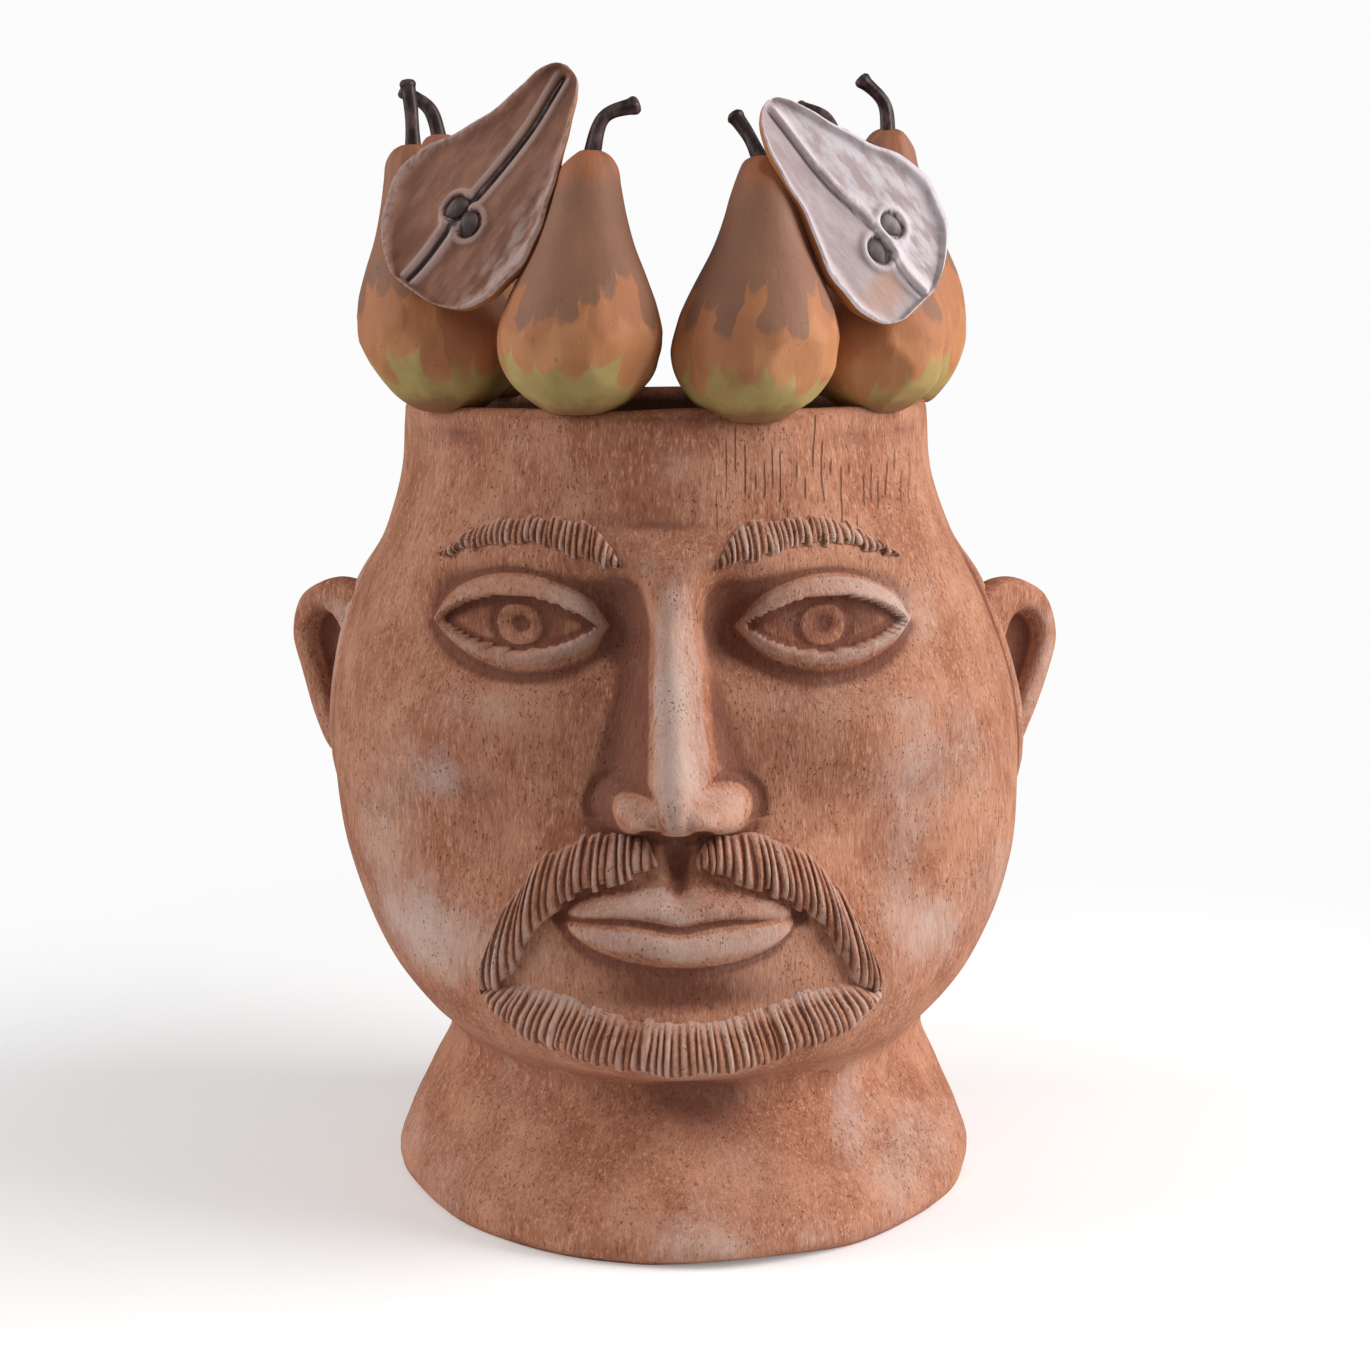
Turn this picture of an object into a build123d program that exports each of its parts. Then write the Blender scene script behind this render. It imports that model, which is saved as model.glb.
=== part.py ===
from build123d import *
import math
import os

# Head planter: a hollow fired-clay head that is open at the top, with a crown of clay pears.
# Millimetres, +Z up, the face looks along -Y. The origin is the middle of the drain hole,
# in the surface that the planter stands on. Left and right are those of a viewer in front.

# Driving dimensions
rim_height = 326.0
rim_radius = 107.0
wall = 12.0
neck_height = 64.0
floor_thickness = 12.0
drain_radius = 9.0
lean = 7.9
head_half_width = 143.0
jaw_wall_lift = 9.0

# Outer shape of the neck and the head: height, half width, reach to the front, reach to the back
neck_sections = [
    (0.0, 118.5, 127.5, 117.5),
    (5.0, 121.5, 131.0, 120.5),
    (22.0, 118.0, 124.0, 115.0),
    (42.0, 109.0, 108.0, 103.0),
    (neck_height, 101.0, 99.0, 95.0),
]
head_sections = [
    (neck_height, 101.0, 99.0, 95.0),
    (78.0, 109.0, 128.0, 98.0),
    (98.0, 124.0, 140.0, 105.0),
    (136.0, 139.0, 134.0, 118.0),
    (172.0, head_half_width, 127.0, 126.0),
    (212.0, 140.0, 121.0, 130.0),
    (246.0, 130.0, 117.0, 128.0),
    (274.0, 117.0, 115.0, 120.0),
    (298.0, 109.0, 110.0, 111.0),
    (rim_height, rim_radius, rim_radius, rim_radius),
]

# Heights of the face, set out by the usual fifths and thirds of a drawing-class head
eye_height = 246.0
brow_height = 276.0
nose_height = 173.0
mouth_height = 139.0
fifth = head_half_width * 2 / 5
eye_half_width = fifth / 2
mouth_half_width = 43.0

# Ears
ear_height = 212.0
ear_half_height = 38.0
ear_reach = 30.0
ear_thickness = 12.0
ear_turn = 40.0

# Pears
pear_wall = 6.5
vent_radius = 1.5
stem_radius = 2.3
stem_knob = 2.9
stem_socket = 5.0

# Each pear: name, angle from the front (right is positive), ring radius, belly radius, height,
# height of the belly, how far its foot sinks below the rim, where its top leans to (x, y)
pears = [
    ("front_left", -18.5, 101.0, 31.0, 97.0, 25.0, 2.0, (5.0, 0.0)),
    ("front_right", 18.5, 101.0, 31.0, 98.0, 26.0, 5.0, (5.0, 0.0)),
    ("left_front", -56.0, 101.5, 31.0, 102.0, 26.0, 3.0, (-12.0, -3.0)),
    ("right_front", 54.0, 100.5, 29.8, 94.0, 25.0, 3.0, (2.0, 5.0)),
    ("left_side", -93.5, 92.5, 29.3, 110.0, 33.0, 3.0, (0.0, 4.0)),
    ("right_side", 92.5, 98.0, 29.5, 112.0, 35.0, 3.0, (-7.0, 0.0)),
    ("left_back", -130.5, 100.0, 28.7, 99.0, 26.0, 3.0, (5.0, 2.0)),
    ("right_back", 128.0, 100.5, 29.5, 116.0, 33.0, 3.0, (-6.0, 2.0)),
    ("back_left", -163.5, 101.5, 27.0, 90.0, 25.0, 3.0, (-4.0, 6.0)),
    ("back_right", 161.5, 101.5, 26.0, 90.0, 25.0, 3.0, (8.0, 4.0)),
]

# Each stem bends from the top of its pear through a middle point to its end (offsets x, y, z)
stem_bends = {
    "front_left": ((5.0, 0.0, 11.5), (18.0, -1.0, 16.5)),
    "front_right": ((-5.0, 9.0, 7.0), (-11.0, 13.0, 16.0)),
    "left_front": ((-0.5, 0.0, 12.0), (-2.0, 1.0, 24.0)),
    "right_front": ((-3.0, 5.0, 6.0), (-9.0, 11.0, 9.0)),
    "left_side": ((-4.5, 0.0, 10.0), (-16.0, 0.0, 18.0)),
    "right_side": ((-2.0, 0.0, 10.0), (-12.0, -1.0, 20.0)),
    "left_back": ((4.0, 0.0, 13.0), (9.0, 0.0, 31.0)),
    "right_back": ((-5.0, 1.0, 5.0), (-17.0, 2.0, 9.0)),
    "back_left": ((-3.0, 3.0, 8.0), (-9.0, 8.0, 13.0)),
    "back_right": ((4.0, 3.0, 9.0), (6.0, 9.0, 17.0)),
}

# Half pears: blossom end and narrow end (x, y from the middle of the rim, z above the rim),
# the way that the cut face looks, and the belly radius
half_pears = {
    "left": ((-96.0, -98.0, 43.0), (-35.0, -93.0, 126.0), (-0.22, -0.95, 0.2), 30.0),
    "right": ((98.5, -92.0, 38.0), (35.5, -97.0, 113.0), (0.3, -0.93, 0.2), 30.0),
}
belly_share = 0.3
dish_depth = 1.5
dish_margin = 3.0
thread_radius = 1.3
seed_size = (4.6, 3.4, 6.2)
seed_share = 0.34


def lean_at(height):
    """Sideways shift of the head at a height: it leans to the viewer's left."""
    return -lean * max(0.0, height - neck_height) / (rim_height - neck_height)


def ring(height, half_width, front, back):
    """Level outline: half an ellipse in front and half an ellipse behind."""
    centre = (lean_at(height), 0.0)
    front_half = EllipticalCenterArc(centre, half_width, front, start_angle=180, arc_size=180)
    back_half = EllipticalCenterArc(centre, half_width, back, start_angle=0, arc_size=180)
    return Pos(0, 0, height) * make_face([front_half.edge(), back_half.edge()])


def skin(sections, grow=0.0):
    """Smooth solid through level outlines that are all grown by the same amount."""
    return loft([ring(z, a + grow, f + grow, b + grow) for z, a, f, b in sections])


def inner_sections(sections):
    """Outlines of the inner wall: it starts to widen a little higher than the jaw does."""
    inner = []
    for height, half_width, front, back in sections:
        lift = jaw_wall_lift if neck_height < height < mouth_height else 0.0
        inner.append((height + lift, half_width - wall, front - wall, back - wall))
    return inner


def smooth_line(points, side):
    """Smooth line through points (x, z), on one side of the face, leaning with the head."""
    return Spline(*[(side * x + lean_at(z), z) for x, z in points]).edge()


def pad(upper, lower, thickness, side=1):
    """Slab of clay laid on the front of the head, between an upper and a lower line that
    share both ends, drawn as seen from in front."""
    outline = make_face([smooth_line(upper, side), smooth_line(lower, side)])
    block = extrude(Plane.XZ * outline, amount=220)
    return block & skin(head_sections, thickness) - head_outer


def build_neck():
    """Flared neck, and the floor slab inside its foot with the drain hole."""
    inner = skin([(z, a - wall, f - wall, b - wall) for z, a, f, b in neck_sections])
    neck = skin(neck_sections) - inner
    slab = inner & Pos(0, 0, floor_thickness / 2) * Box(400, 400, floor_thickness)
    slab -= Cylinder(drain_radius, floor_thickness * 3)
    return neck, slab


def build_nose():
    """Plain straight nose, wider to the tip, with rounded wings."""
    stations = [
        (brow_height - 12, 8.0, 118.0),
        (eye_height - 10, 9.5, 131.0),
        (200.0, 15.0, 149.0),
        (182.0, 24.0, 163.0),
        (nose_height, 22.0, 157.0),
    ]
    faces = []
    for height, half_width, reach in stations:
        centre = (lean_at(height), -85.0)
        outline = Ellipse(half_width, reach - 85.0)
        faces.append(Pos(centre[0], centre[1], height) * outline)
    return loft(faces) - head_outer


def build_eye(side):
    """Almond eye: a low pad for the lids with the eyeball standing out of it."""
    e = eye_half_width
    inner_end = (fifth - e, eye_height - 2)
    outer_end = (fifth + e, eye_height)
    upper = [inner_end, (fifth - e * 0.4, eye_height + 10), (fifth + e * 0.4, eye_height + 10), outer_end]
    lower = [inner_end, (fifth - e * 0.3, eye_height - 10), (fifth + e * 0.4, eye_height - 10), outer_end]
    lids = pad(upper, lower, 4.0, side)
    turn = side * math.degrees(math.asin(fifth / 131.0)) * 0.8
    ball = scale(Sphere(1), by=(e * 0.62, 9.0, 9.0))
    place = Pos(side * fifth + lean_at(eye_height), -101.0, eye_height) * Rot(0, 0, turn)
    return lids + (place * ball - head_outer)


def build_ear(side):
    """Ear plate that stands out from the head, hollowed in front."""
    turn = math.radians(ear_turn)
    outward = Vector(side * math.cos(turn), math.sin(turn), 0)
    facing = Vector(side * math.sin(turn), -math.cos(turn), 0)
    root = Vector(side * 138.5 + lean_at(ear_height), 4.0, ear_height)
    plane = Plane(origin=root, x_dir=outward, z_dir=facing)
    up = 1.0 if plane.y_dir.Z > 0 else -1.0
    rim_line = [
        (-22.0, up * -24.0),
        (4.0, up * -ear_half_height),
        (17.0, up * -22.0),
        (ear_reach - 2, up * 10.0),
        (20.0, up * 33.0),
        (-2.0, up * ear_half_height),
        (-24.0, up * 24.0),
    ]
    bowl_line = [
        (2.0, up * -20.0),
        (11.0, up * -10.0),
        (19.0, up * 10.0),
        (12.0, up * 26.0),
        (-2.0, up * 22.0),
        (-5.0, up * 0.0),
    ]
    plate = extrude(plane * make_face(Spline(*rim_line, periodic=True).edge()), amount=ear_thickness / 2, both=True)
    bowl_plane = plane.offset(ear_thickness / 2 - 6.0)
    bowl = extrude(bowl_plane * make_face(Spline(*bowl_line, periodic=True).edge()), amount=20)
    return plate - bowl - head_outer


def build_face():
    """Brows, eyes, nose, lips, moustache and beard, each its own lump of clay on the head."""
    brow_upper = [(15.0, 267.0), (22.0, 278.0), (46.0, 286.0), (70.0, 282.0), (88.0, 269.0)]
    brow_lower = [(15.0, 267.0), (30.0, 271.0), (48.0, 276.0), (68.0, 274.0), (88.0, 269.0)]
    moustache_upper = [(7.0, 160.0), (16.0, 171.0), (42.0, 166.0), (62.0, 150.0), (73.0, 126.0), (74.0, 106.0)]
    moustache_lower = [(7.0, 160.0), (24.0, 153.0), (42.0, 144.0), (54.0, 130.0), (60.0, 114.0), (74.0, 106.0)]
    beard_upper = [(-74.0, 106.0), (-56.0, 114.0), (-30.0, 107.0), (0.0, 104.0), (30.0, 107.0), (56.0, 114.0), (74.0, 106.0)]
    beard_lower = [(-74.0, 106.0), (-60.0, 94.0), (-34.0, 85.0), (0.0, 82.0), (34.0, 85.0), (60.0, 94.0), (74.0, 106.0)]
    m = mouth_half_width
    z = mouth_height
    parting = [(-m, z), (0.0, z - 1.5), (m, z)]
    upper_edge = [(-m, z), (-m * 0.5, z + 8), (0.0, z + 12), (m * 0.5, z + 8), (m, z)]
    lower_edge = [(-m, z), (-m * 0.5, z - 13), (0.0, z - 17), (m * 0.5, z - 13), (m, z)]
    nose = build_nose()
    upper_lip = pad(upper_edge, parting, 10.0)
    lower_lip = pad(parting, lower_edge, 9.0)
    face = {"nose": nose, "upper_lip": upper_lip, "lower_lip": lower_lip}
    for name, side in (("left", -1), ("right", 1)):
        face[f"eye_{name}"] = build_eye(side) - nose
        face[f"brow_{name}"] = pad(brow_upper, brow_lower, 5.0, side) - nose
        moustache = pad(moustache_upper, moustache_lower, 9.0, side)
        face[f"moustache_{name}"] = moustache - nose - upper_lip - lower_lip
        face[f"ear_{name}"] = build_ear(side)
    beard = pad(beard_upper, beard_lower, 8.0) - lower_lip
    face["chin_beard"] = beard - face["moustache_left"] - face["moustache_right"]
    return face


def pear_body(radius, belly, height):
    """Pear turned about its own axis, standing on its blossom end."""
    foot = Spline((0, 0), (radius * 0.76, belly * 0.36), (radius, belly), tangents=[(1, 0), (0, 1)])
    shoulder = Spline(
        (radius, belly),
        (radius * 0.6, belly + (height - belly) * 0.52),
        (radius * 0.36, belly + (height - belly) * 0.87),
        (0, height),
        tangents=[(0, 1), (-1, 0)],
    )
    axis_line = Line((0, height), (0, 0))
    outline = make_face([foot.edge(), shoulder.edge(), axis_line.edge()])
    return revolve(Plane.XZ * outline, Axis.Z)


def standing(foot_point, top_lean, height):
    """Plane at the foot of a pear, with its axis pointing at the place of its top."""
    return Plane(origin=foot_point, z_dir=Vector(top_lean[0], top_lean[1], height))


def build_stem(start, along, bend):
    """Bent stem with a blunt knob, starting inside its socket."""
    middle, end = bend
    path = ThreePointArc(start - along * stem_socket, start + Vector(middle), start + Vector(end))
    tube = sweep(Plane(origin=path @ 0, z_dir=path % 0) * Circle(stem_radius), path=path)
    knob = Plane(origin=path @ 1, z_dir=path % 1).location * Sphere(stem_knob)
    return tube + knob


def build_pears():
    """Hollow pears seated on the rim, and the stems plugged into their tops."""
    whole, hollow, stems = {}, {}, {}
    middle_x = lean_at(rim_height)
    for name, angle, ring_radius, radius, height, belly, sink, top_lean in pears:
        turn = math.radians(angle)
        inward = Vector(-math.sin(turn), math.cos(turn), 0)
        foot = Vector(middle_x, 0, rim_height - sink) - inward * ring_radius
        place = standing(foot, top_lean, height)
        outside = place.location * pear_body(radius, belly, height)
        inner = pear_body(radius - pear_wall, belly - pear_wall, height * 0.66)
        cavity = place.location * (Pos(0, 0, pear_wall) * inner)
        vent_start = foot + Vector(0, 0, belly)
        vent = Plane(origin=vent_start, z_dir=inward) * Cylinder(vent_radius, 70, align=(Align.CENTER, Align.CENTER, Align.MIN))
        top = foot + place.z_dir * height
        stem = build_stem(top, place.z_dir, stem_bends[name])
        whole[name] = outside
        stems[name] = stem
        hollow[name] = outside - cavity - vent - stem - head_shell
    return whole, hollow, stems


def build_half_pear(side, pressed_on):
    """Half a pear: rounded rind behind, dished cut face in front with thread and seeds."""
    blossom, narrow, facing, radius = half_pears[side]
    middle = Vector(lean_at(rim_height), 0, rim_height)
    foot = Vector(blossom) + middle
    tip = Vector(narrow) + middle
    along = (tip - foot).normalized()
    look = Vector(facing)
    look = (look - along * look.dot(along)).normalized()
    length = (tip - foot).length
    back = look * -1
    place = Plane(origin=foot, x_dir=back.cross(along), z_dir=along)
    belly = length * belly_share
    body = pear_body(radius, belly, length)
    body &= Pos(0, 100, 0) * Box(300, 200, 600)
    dish = pear_body(radius - dish_margin, belly - dish_margin, length - dish_margin * 2)
    dish &= Box(300, dish_depth * 2, 600)
    body -= Pos(0, 0, dish_margin) * dish
    thread_line = Pos(0, dish_depth, length / 2 - dish_margin) * Cylinder(thread_radius, length - dish_margin * 4)
    seed = scale(Sphere(1), by=seed_size)
    seat = (0, dish_depth, length * seed_share)
    left_seed = Pos(-seed_size[0] * 1.05, seat[1], seat[2]) * seed
    right_seed = Pos(seed_size[0] * 1.05, seat[1], seat[2]) * seed
    seeds = [left_seed, right_seed]
    body = body - left_seed - right_seed - thread_line
    thread = thread_line - left_seed - right_seed
    move = place.location
    half = move * body
    for other in pressed_on:
        half -= other
    return half, move * thread, [move * one for one in seeds]


head_outer = skin(head_sections)
head_shell = head_outer - skin(inner_sections(head_sections))

nodes = {"head_shell": head_shell}
nodes["neck_base"], nodes["floor_slab"] = build_neck()
nodes.update(build_face())
whole_pears, hollow_pears, stems = build_pears()
for name in whole_pears:
    nodes[f"pear_{name}"] = hollow_pears[name]
    nodes[f"stem_{name}"] = stems[name]
for side in half_pears:
    half, thread, seeds = build_half_pear(side, [*whole_pears.values(), *stems.values()])
    nodes[f"half_pear_{side}"] = half
    nodes[f"core_thread_{side}"] = thread
    nodes[f"seeds_{side}"] = Compound(children=seeds)

os.makedirs("parts", exist_ok=True)
for name, shape in nodes.items():
    export_step(shape, f"parts/{name}.step")
    print(name, round(shape.volume), "mm3")
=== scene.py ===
# %% [markdown]
# # A head planter in fired clay
# The real object is a hollow head that a potter built by hand. It stands on its flared neck,
# it is open at the forehead, and a ring of clay pears sits on the rim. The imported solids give
# the sizes and the places. Here each piece gets its real surface: brushed clay, combed hair,
# painted pears. Every length below is in millimetres, and a mesh is scaled to metres at the end.

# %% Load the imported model
import math

import bmesh
import bpy
import numpy as np
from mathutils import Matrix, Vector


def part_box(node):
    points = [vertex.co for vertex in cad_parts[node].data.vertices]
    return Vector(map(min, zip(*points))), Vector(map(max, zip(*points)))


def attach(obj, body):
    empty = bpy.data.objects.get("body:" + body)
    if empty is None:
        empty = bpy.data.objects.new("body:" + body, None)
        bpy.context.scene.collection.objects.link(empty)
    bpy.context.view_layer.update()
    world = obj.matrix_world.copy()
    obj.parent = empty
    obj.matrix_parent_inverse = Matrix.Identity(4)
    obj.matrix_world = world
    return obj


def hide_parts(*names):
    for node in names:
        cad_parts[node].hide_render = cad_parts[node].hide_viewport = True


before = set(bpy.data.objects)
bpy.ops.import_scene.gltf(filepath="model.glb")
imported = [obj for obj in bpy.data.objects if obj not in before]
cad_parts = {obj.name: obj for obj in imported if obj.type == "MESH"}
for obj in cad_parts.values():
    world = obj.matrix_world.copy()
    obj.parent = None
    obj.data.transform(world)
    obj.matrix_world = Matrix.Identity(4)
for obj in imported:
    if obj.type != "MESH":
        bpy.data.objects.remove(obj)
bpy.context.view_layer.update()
MM = 0.001
low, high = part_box("head_shell")
rim_height = high[2] / MM
neck_height = low[2] / MM
print("rim at", round(rim_height), "mm, neck joint at", round(neck_height), "mm")

# %% [markdown]
# ## The camera and the light
# The photograph was taken from about a metre away, a little above the rim, looking slightly
# down. The camera comes first.

# %% Camera
camera_distance = 1000.0
camera_height = rim_height + 46.2
camera_pitch = 9.475
focal_pixels = 2400.0
frame_pixels = 1370.0
sensor_width = 36.0

camera_data = bpy.data.cameras.new("camera")
camera_data.sensor_width = sensor_width
camera_data.lens = sensor_width * focal_pixels / frame_pixels
camera_data.clip_end = 20.0
camera = bpy.data.objects.new("camera", camera_data)
camera.location = (0.0, -camera_distance * MM, camera_height * MM)
camera.rotation_euler = (math.radians(90.0 - camera_pitch), 0.0, 0.0)
bpy.context.scene.collection.objects.link(camera)
bpy.context.scene.camera = camera
bpy.context.scene.view_settings.view_transform = "Standard"
print("lens", round(camera_data.lens, 1), "mm")

# %% [markdown]
# A soft studio has large lamps. Two of them stand at the sides, and the right one is stronger,
# so the middle of the face is darker than its edges. A weak lamp in front and an even grey
# world fill the shadows. The world is white only where the camera looks straight at it.

# %% Lamps and world


def add_lamp(name, place, target, size, watts):
    """Square area lamp at a place, turned towards a target, both in metres."""
    data = bpy.data.lights.new(name, "AREA")
    data.shape = "SQUARE"
    data.size = size
    data.energy = watts
    lamp = bpy.data.objects.new(name, data)
    lamp.location = place
    direction = [t - p for t, p in zip(target, place)]
    across = math.hypot(direction[0], direction[1])
    tilt = math.atan2(across, -direction[2])
    swing = math.atan2(direction[1], direction[0]) - math.pi / 2
    lamp.rotation_euler = (tilt, 0.0, swing)
    bpy.context.scene.collection.objects.link(lamp)
    return lamp


middle_of_head = (0.0, 0.0, 0.25)
add_lamp("right_lamp", (1.7, -0.35, 0.95), middle_of_head, 1.2, 44.0)
add_lamp("left_lamp", (-1.7, -0.25, 0.85), middle_of_head, 1.2, 20.0)
add_lamp("front_lamp", (-0.3, -1.7, 1.5), middle_of_head, 1.2, 2.5)

world = bpy.data.worlds.new("studio")
bpy.context.scene.world = world
world.use_nodes = True
world_nodes = world.node_tree.nodes
world_links = world.node_tree.links
world_nodes.clear()
ray = world_nodes.new("ShaderNodeLightPath")
soft_light = world_nodes.new("ShaderNodeBackground")
soft_light.inputs["Color"].default_value = (1.0, 0.99, 0.98, 1.0)
soft_light.inputs["Strength"].default_value = 0.24
white_backdrop = world_nodes.new("ShaderNodeBackground")
white_backdrop.inputs["Color"].default_value = (0.97, 0.97, 0.97, 1.0)
white_backdrop.inputs["Strength"].default_value = 1.0
chooser = world_nodes.new("ShaderNodeMixShader")
world_out = world_nodes.new("ShaderNodeOutputWorld")
world_links.new(ray.outputs["Is Camera Ray"], chooser.inputs["Fac"])
world_links.new(soft_light.outputs[0], chooser.inputs[1])
world_links.new(white_backdrop.outputs[0], chooser.inputs[2])
world_links.new(chooser.outputs[0], world_out.inputs["Surface"])

# %% [markdown]
# ## Tools for building surfaces
# Most pieces here are grids of points: rows that run along a piece, and columns that run round
# it. A small helper turns such a grid into a closed mesh. Each mesh can also carry values, such
# as how hollow the clay is at a point, which the materials read later.

# %% Mesh helpers


def smooth_curve(knots, values, at):
    """Smooth curve through (knot, value) pairs, read at the given places."""
    knots = np.asarray(knots, float)
    values = np.asarray(values, float)
    slopes = np.gradient(values, knots)
    place = np.clip(at, knots[0], knots[-1])
    i = np.clip(np.searchsorted(knots, place) - 1, 0, len(knots) - 2)
    step = knots[i + 1] - knots[i]
    t = (place - knots[i]) / step
    start = (1 + 2 * t) * (1 - t) ** 2 * values[i] + t * (1 - t) ** 2 * step * slopes[i]
    end = t * t * (3 - 2 * t) * values[i + 1] + t * t * (t - 1) * step * slopes[i + 1]
    return start + end


def ease(low_edge, high_edge, value):
    """Soft step from 0 at the low edge to 1 at the high edge."""
    t = np.clip((value - low_edge) / (high_edge - low_edge), 0.0, 1.0)
    return t * t * (3 - 2 * t)


def swell(x, z, centre_x, centre_z, reach_x, reach_z):
    """Soft round swelling of height 1."""
    return np.exp(-(((x - centre_x) / reach_x) ** 2) - ((z - centre_z) / reach_z) ** 2)


def ring_faces(rows, columns, close_rows=False):
    """Quads of a grid whose columns run round and join up, and whose rows may too."""
    r = np.arange(rows if close_rows else rows - 1)
    c = np.arange(columns)
    r, c = np.meshgrid(r, c, indexing="ij")
    next_r = (r + 1) % rows
    next_c = (c + 1) % columns
    this_row = r * columns
    next_row = next_r * columns
    quads = np.stack([this_row + c, this_row + next_c, next_row + next_c, next_row + c], -1)
    return quads.reshape(-1, 4)


def add_piece(name, points, faces, replaced):
    """Smooth mesh piece from points in millimetres, riding on the one body of the planter."""
    mesh = bpy.data.meshes.new(name)
    mesh.from_pydata((np.asarray(points) * MM).tolist(), [], [list(map(int, f)) for f in faces])
    shell = bmesh.new()
    shell.from_mesh(mesh)
    bmesh.ops.recalc_face_normals(shell, faces=shell.faces)
    shell.to_mesh(mesh)
    shell.free()
    mesh.polygons.foreach_set("use_smooth", [True] * len(mesh.polygons))
    mesh.update()
    piece = bpy.data.objects.new(name, mesh)
    bpy.context.scene.collection.objects.link(piece)
    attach(piece, "root")
    if replaced:
        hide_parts(*replaced)
    return piece


def add_value(piece, name, values):
    """One number for each point of a piece, for its material to read."""
    attribute = piece.data.attributes.new(name, "FLOAT", "POINT")
    attribute.data.foreach_set("value", np.asarray(values, np.float32).ravel())


def add_vector(piece, name, values):
    """One vector for each point of a piece, for its material to read."""
    attribute = piece.data.attributes.new(name, "FLOAT_VECTOR", "POINT")
    attribute.data.foreach_set("vector", np.asarray(values, np.float32).ravel())


def closed_tube(rows_of_points):
    """Points and faces of a grid of rings that is closed by a flat face at each end."""
    rows, columns, _ = rows_of_points.shape
    faces = ring_faces(rows, columns).tolist()
    faces.append(list(range(columns))[::-1])
    faces.append(list(range((rows - 1) * columns, rows * columns)))
    return rows_of_points.reshape(-1, 3), faces


print("helpers ready")

# %% [markdown]
# ## The head and the neck
# The potter raised the pot from coils, so its plain form is a stack of level rings that are
# half an ellipse in front and half an ellipse behind. The list gives, for each height, the half
# width and the reach to the front and to the back. The rings slip sideways as they rise,
# because the real head leans a little.

# %% Plain form of the pot
wall = 12.0
lean = 7.9
foot_half_width = (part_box("neck_base")[1][0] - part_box("neck_base")[0][0]) / MM / 2
head_half_width = (high[0] - low[0]) / MM / 2
rings = [
    (0.0, foot_half_width - 4.0, 127.0, 117.0),
    (1.5, foot_half_width - 1.6, 129.6, 119.4),
    (5.0, foot_half_width, 131.0, 120.5),
    (22.0, 118.0, 124.0, 115.0),
    (42.0, 109.0, 108.0, 103.0),
    (neck_height, 101.0, 99.0, 95.0),
    (78.0, 109.0, 128.0, 98.0),
    (98.0, 124.0, 140.0, 105.0),
    (136.0, 139.0, 134.0, 118.0),
    (172.0, head_half_width, 127.0, 126.0),
    (212.0, 140.0, 121.0, 130.0),
    (246.0, 130.0, 117.0, 128.0),
    (274.0, 117.0, 115.0, 120.0),
    (298.0, 109.0, 110.0, 111.0),
    (rim_height, 107.0, 107.0, 107.0),
]
ring_heights, ring_widths, ring_fronts, ring_backs = (np.array(column) for column in zip(*rings))


def lean_at(height):
    """Sideways shift of the head at a height."""
    return -lean * np.maximum(0.0, height - neck_height) / (rim_height - neck_height)


def pot_ring(angle, height, grow=0.0):
    """Point (x, y) of the plain pot and its outward direction. Angle 0 is the front."""
    half_width = smooth_curve(ring_heights, ring_widths, height) + grow
    front = smooth_curve(ring_heights, ring_fronts, height) + grow
    back = smooth_curve(ring_heights, ring_backs, height) + grow
    depth = np.where(np.cos(angle) > 0, front, back)
    x = half_width * np.sin(angle)
    y = -depth * np.cos(angle)
    out_x = np.sin(angle) / half_width
    out_y = -np.cos(angle) / depth
    length = np.hypot(out_x, out_y)
    return x, y, out_x / length, out_y / length


print("pot is", round(2 * head_half_width), "mm wide at the cheeks")

# %% [markdown]
# The face is a calm one, set out by the rules that drawing classes teach: the head is five eyes
# wide, the eyes sit half way between the crown and the chin, and thirds give the brow, the base
# of the nose and the chin. Each feature is a soft swelling or hollow on the plain form.

# %% Broad forms of the face
eye_height = 246.0
nose_height = 173.0
mouth_height = 139.0
fifth = head_half_width * 2 / 5
eye_half_width = fifth / 2
mouth_half_width = 43.0


def broad_relief(x, z):
    """Sockets, brow ridge, cheekbones, muzzle and chin: outward push in millimetres."""
    side = np.abs(x)
    push = 3.5 * swell(side, z, 46.0, 270.0, 42.0, 9.0)
    push += -8.0 * swell(side, z, 50.0, 244.0, 33.0, 17.0)
    push += -6.0 * swell(side, z, 21.0, 247.0, 11.0, 15.0)
    push += 6.0 * swell(side, z, 80.0, 207.0, 30.0, 20.0)
    push += -5.0 * swell(side, z, 84.0, 158.0, 26.0, 28.0)
    push += 7.0 * swell(x, z, 0.0, 143.0, 46.0, 27.0)
    push += -4.0 * swell(x, z, 0.0, 110.0, 34.0, 9.0)
    push += 7.0 * swell(x, z, 0.0, 83.0, 27.0, 15.0)
    push += 2.5 * swell(x, z, 0.0, 300.0, 60.0, 20.0)
    return push


def crease(x, z, start, end, width):
    """Soft valley of depth 1 along a straight line between two places."""
    line = np.array(end) - np.array(start)
    share = ((x - start[0]) * line[0] + (z - start[1]) * line[1]) / (line @ line)
    share = np.clip(share, 0.0, 1.0)
    gap = np.hypot(x - start[0] - share * line[0], z - start[1] - share * line[1])
    return -np.exp(-((gap / width) ** 2))


def neck_relief(x, z):
    """Slanting tool strokes where the clay of the neck was drawn up to the jaw."""
    push = 1.6 * crease(x, z, (-94.0, 70.0), (-40.0, 40.0), 9.0)
    push += 1.2 * crease(x, z, (97.0, 72.0), (78.0, 34.0), 9.0)
    push += 1.0 * crease(x, z, (-70.0, 30.0), (20.0, 22.0), 11.0)
    return push


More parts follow.
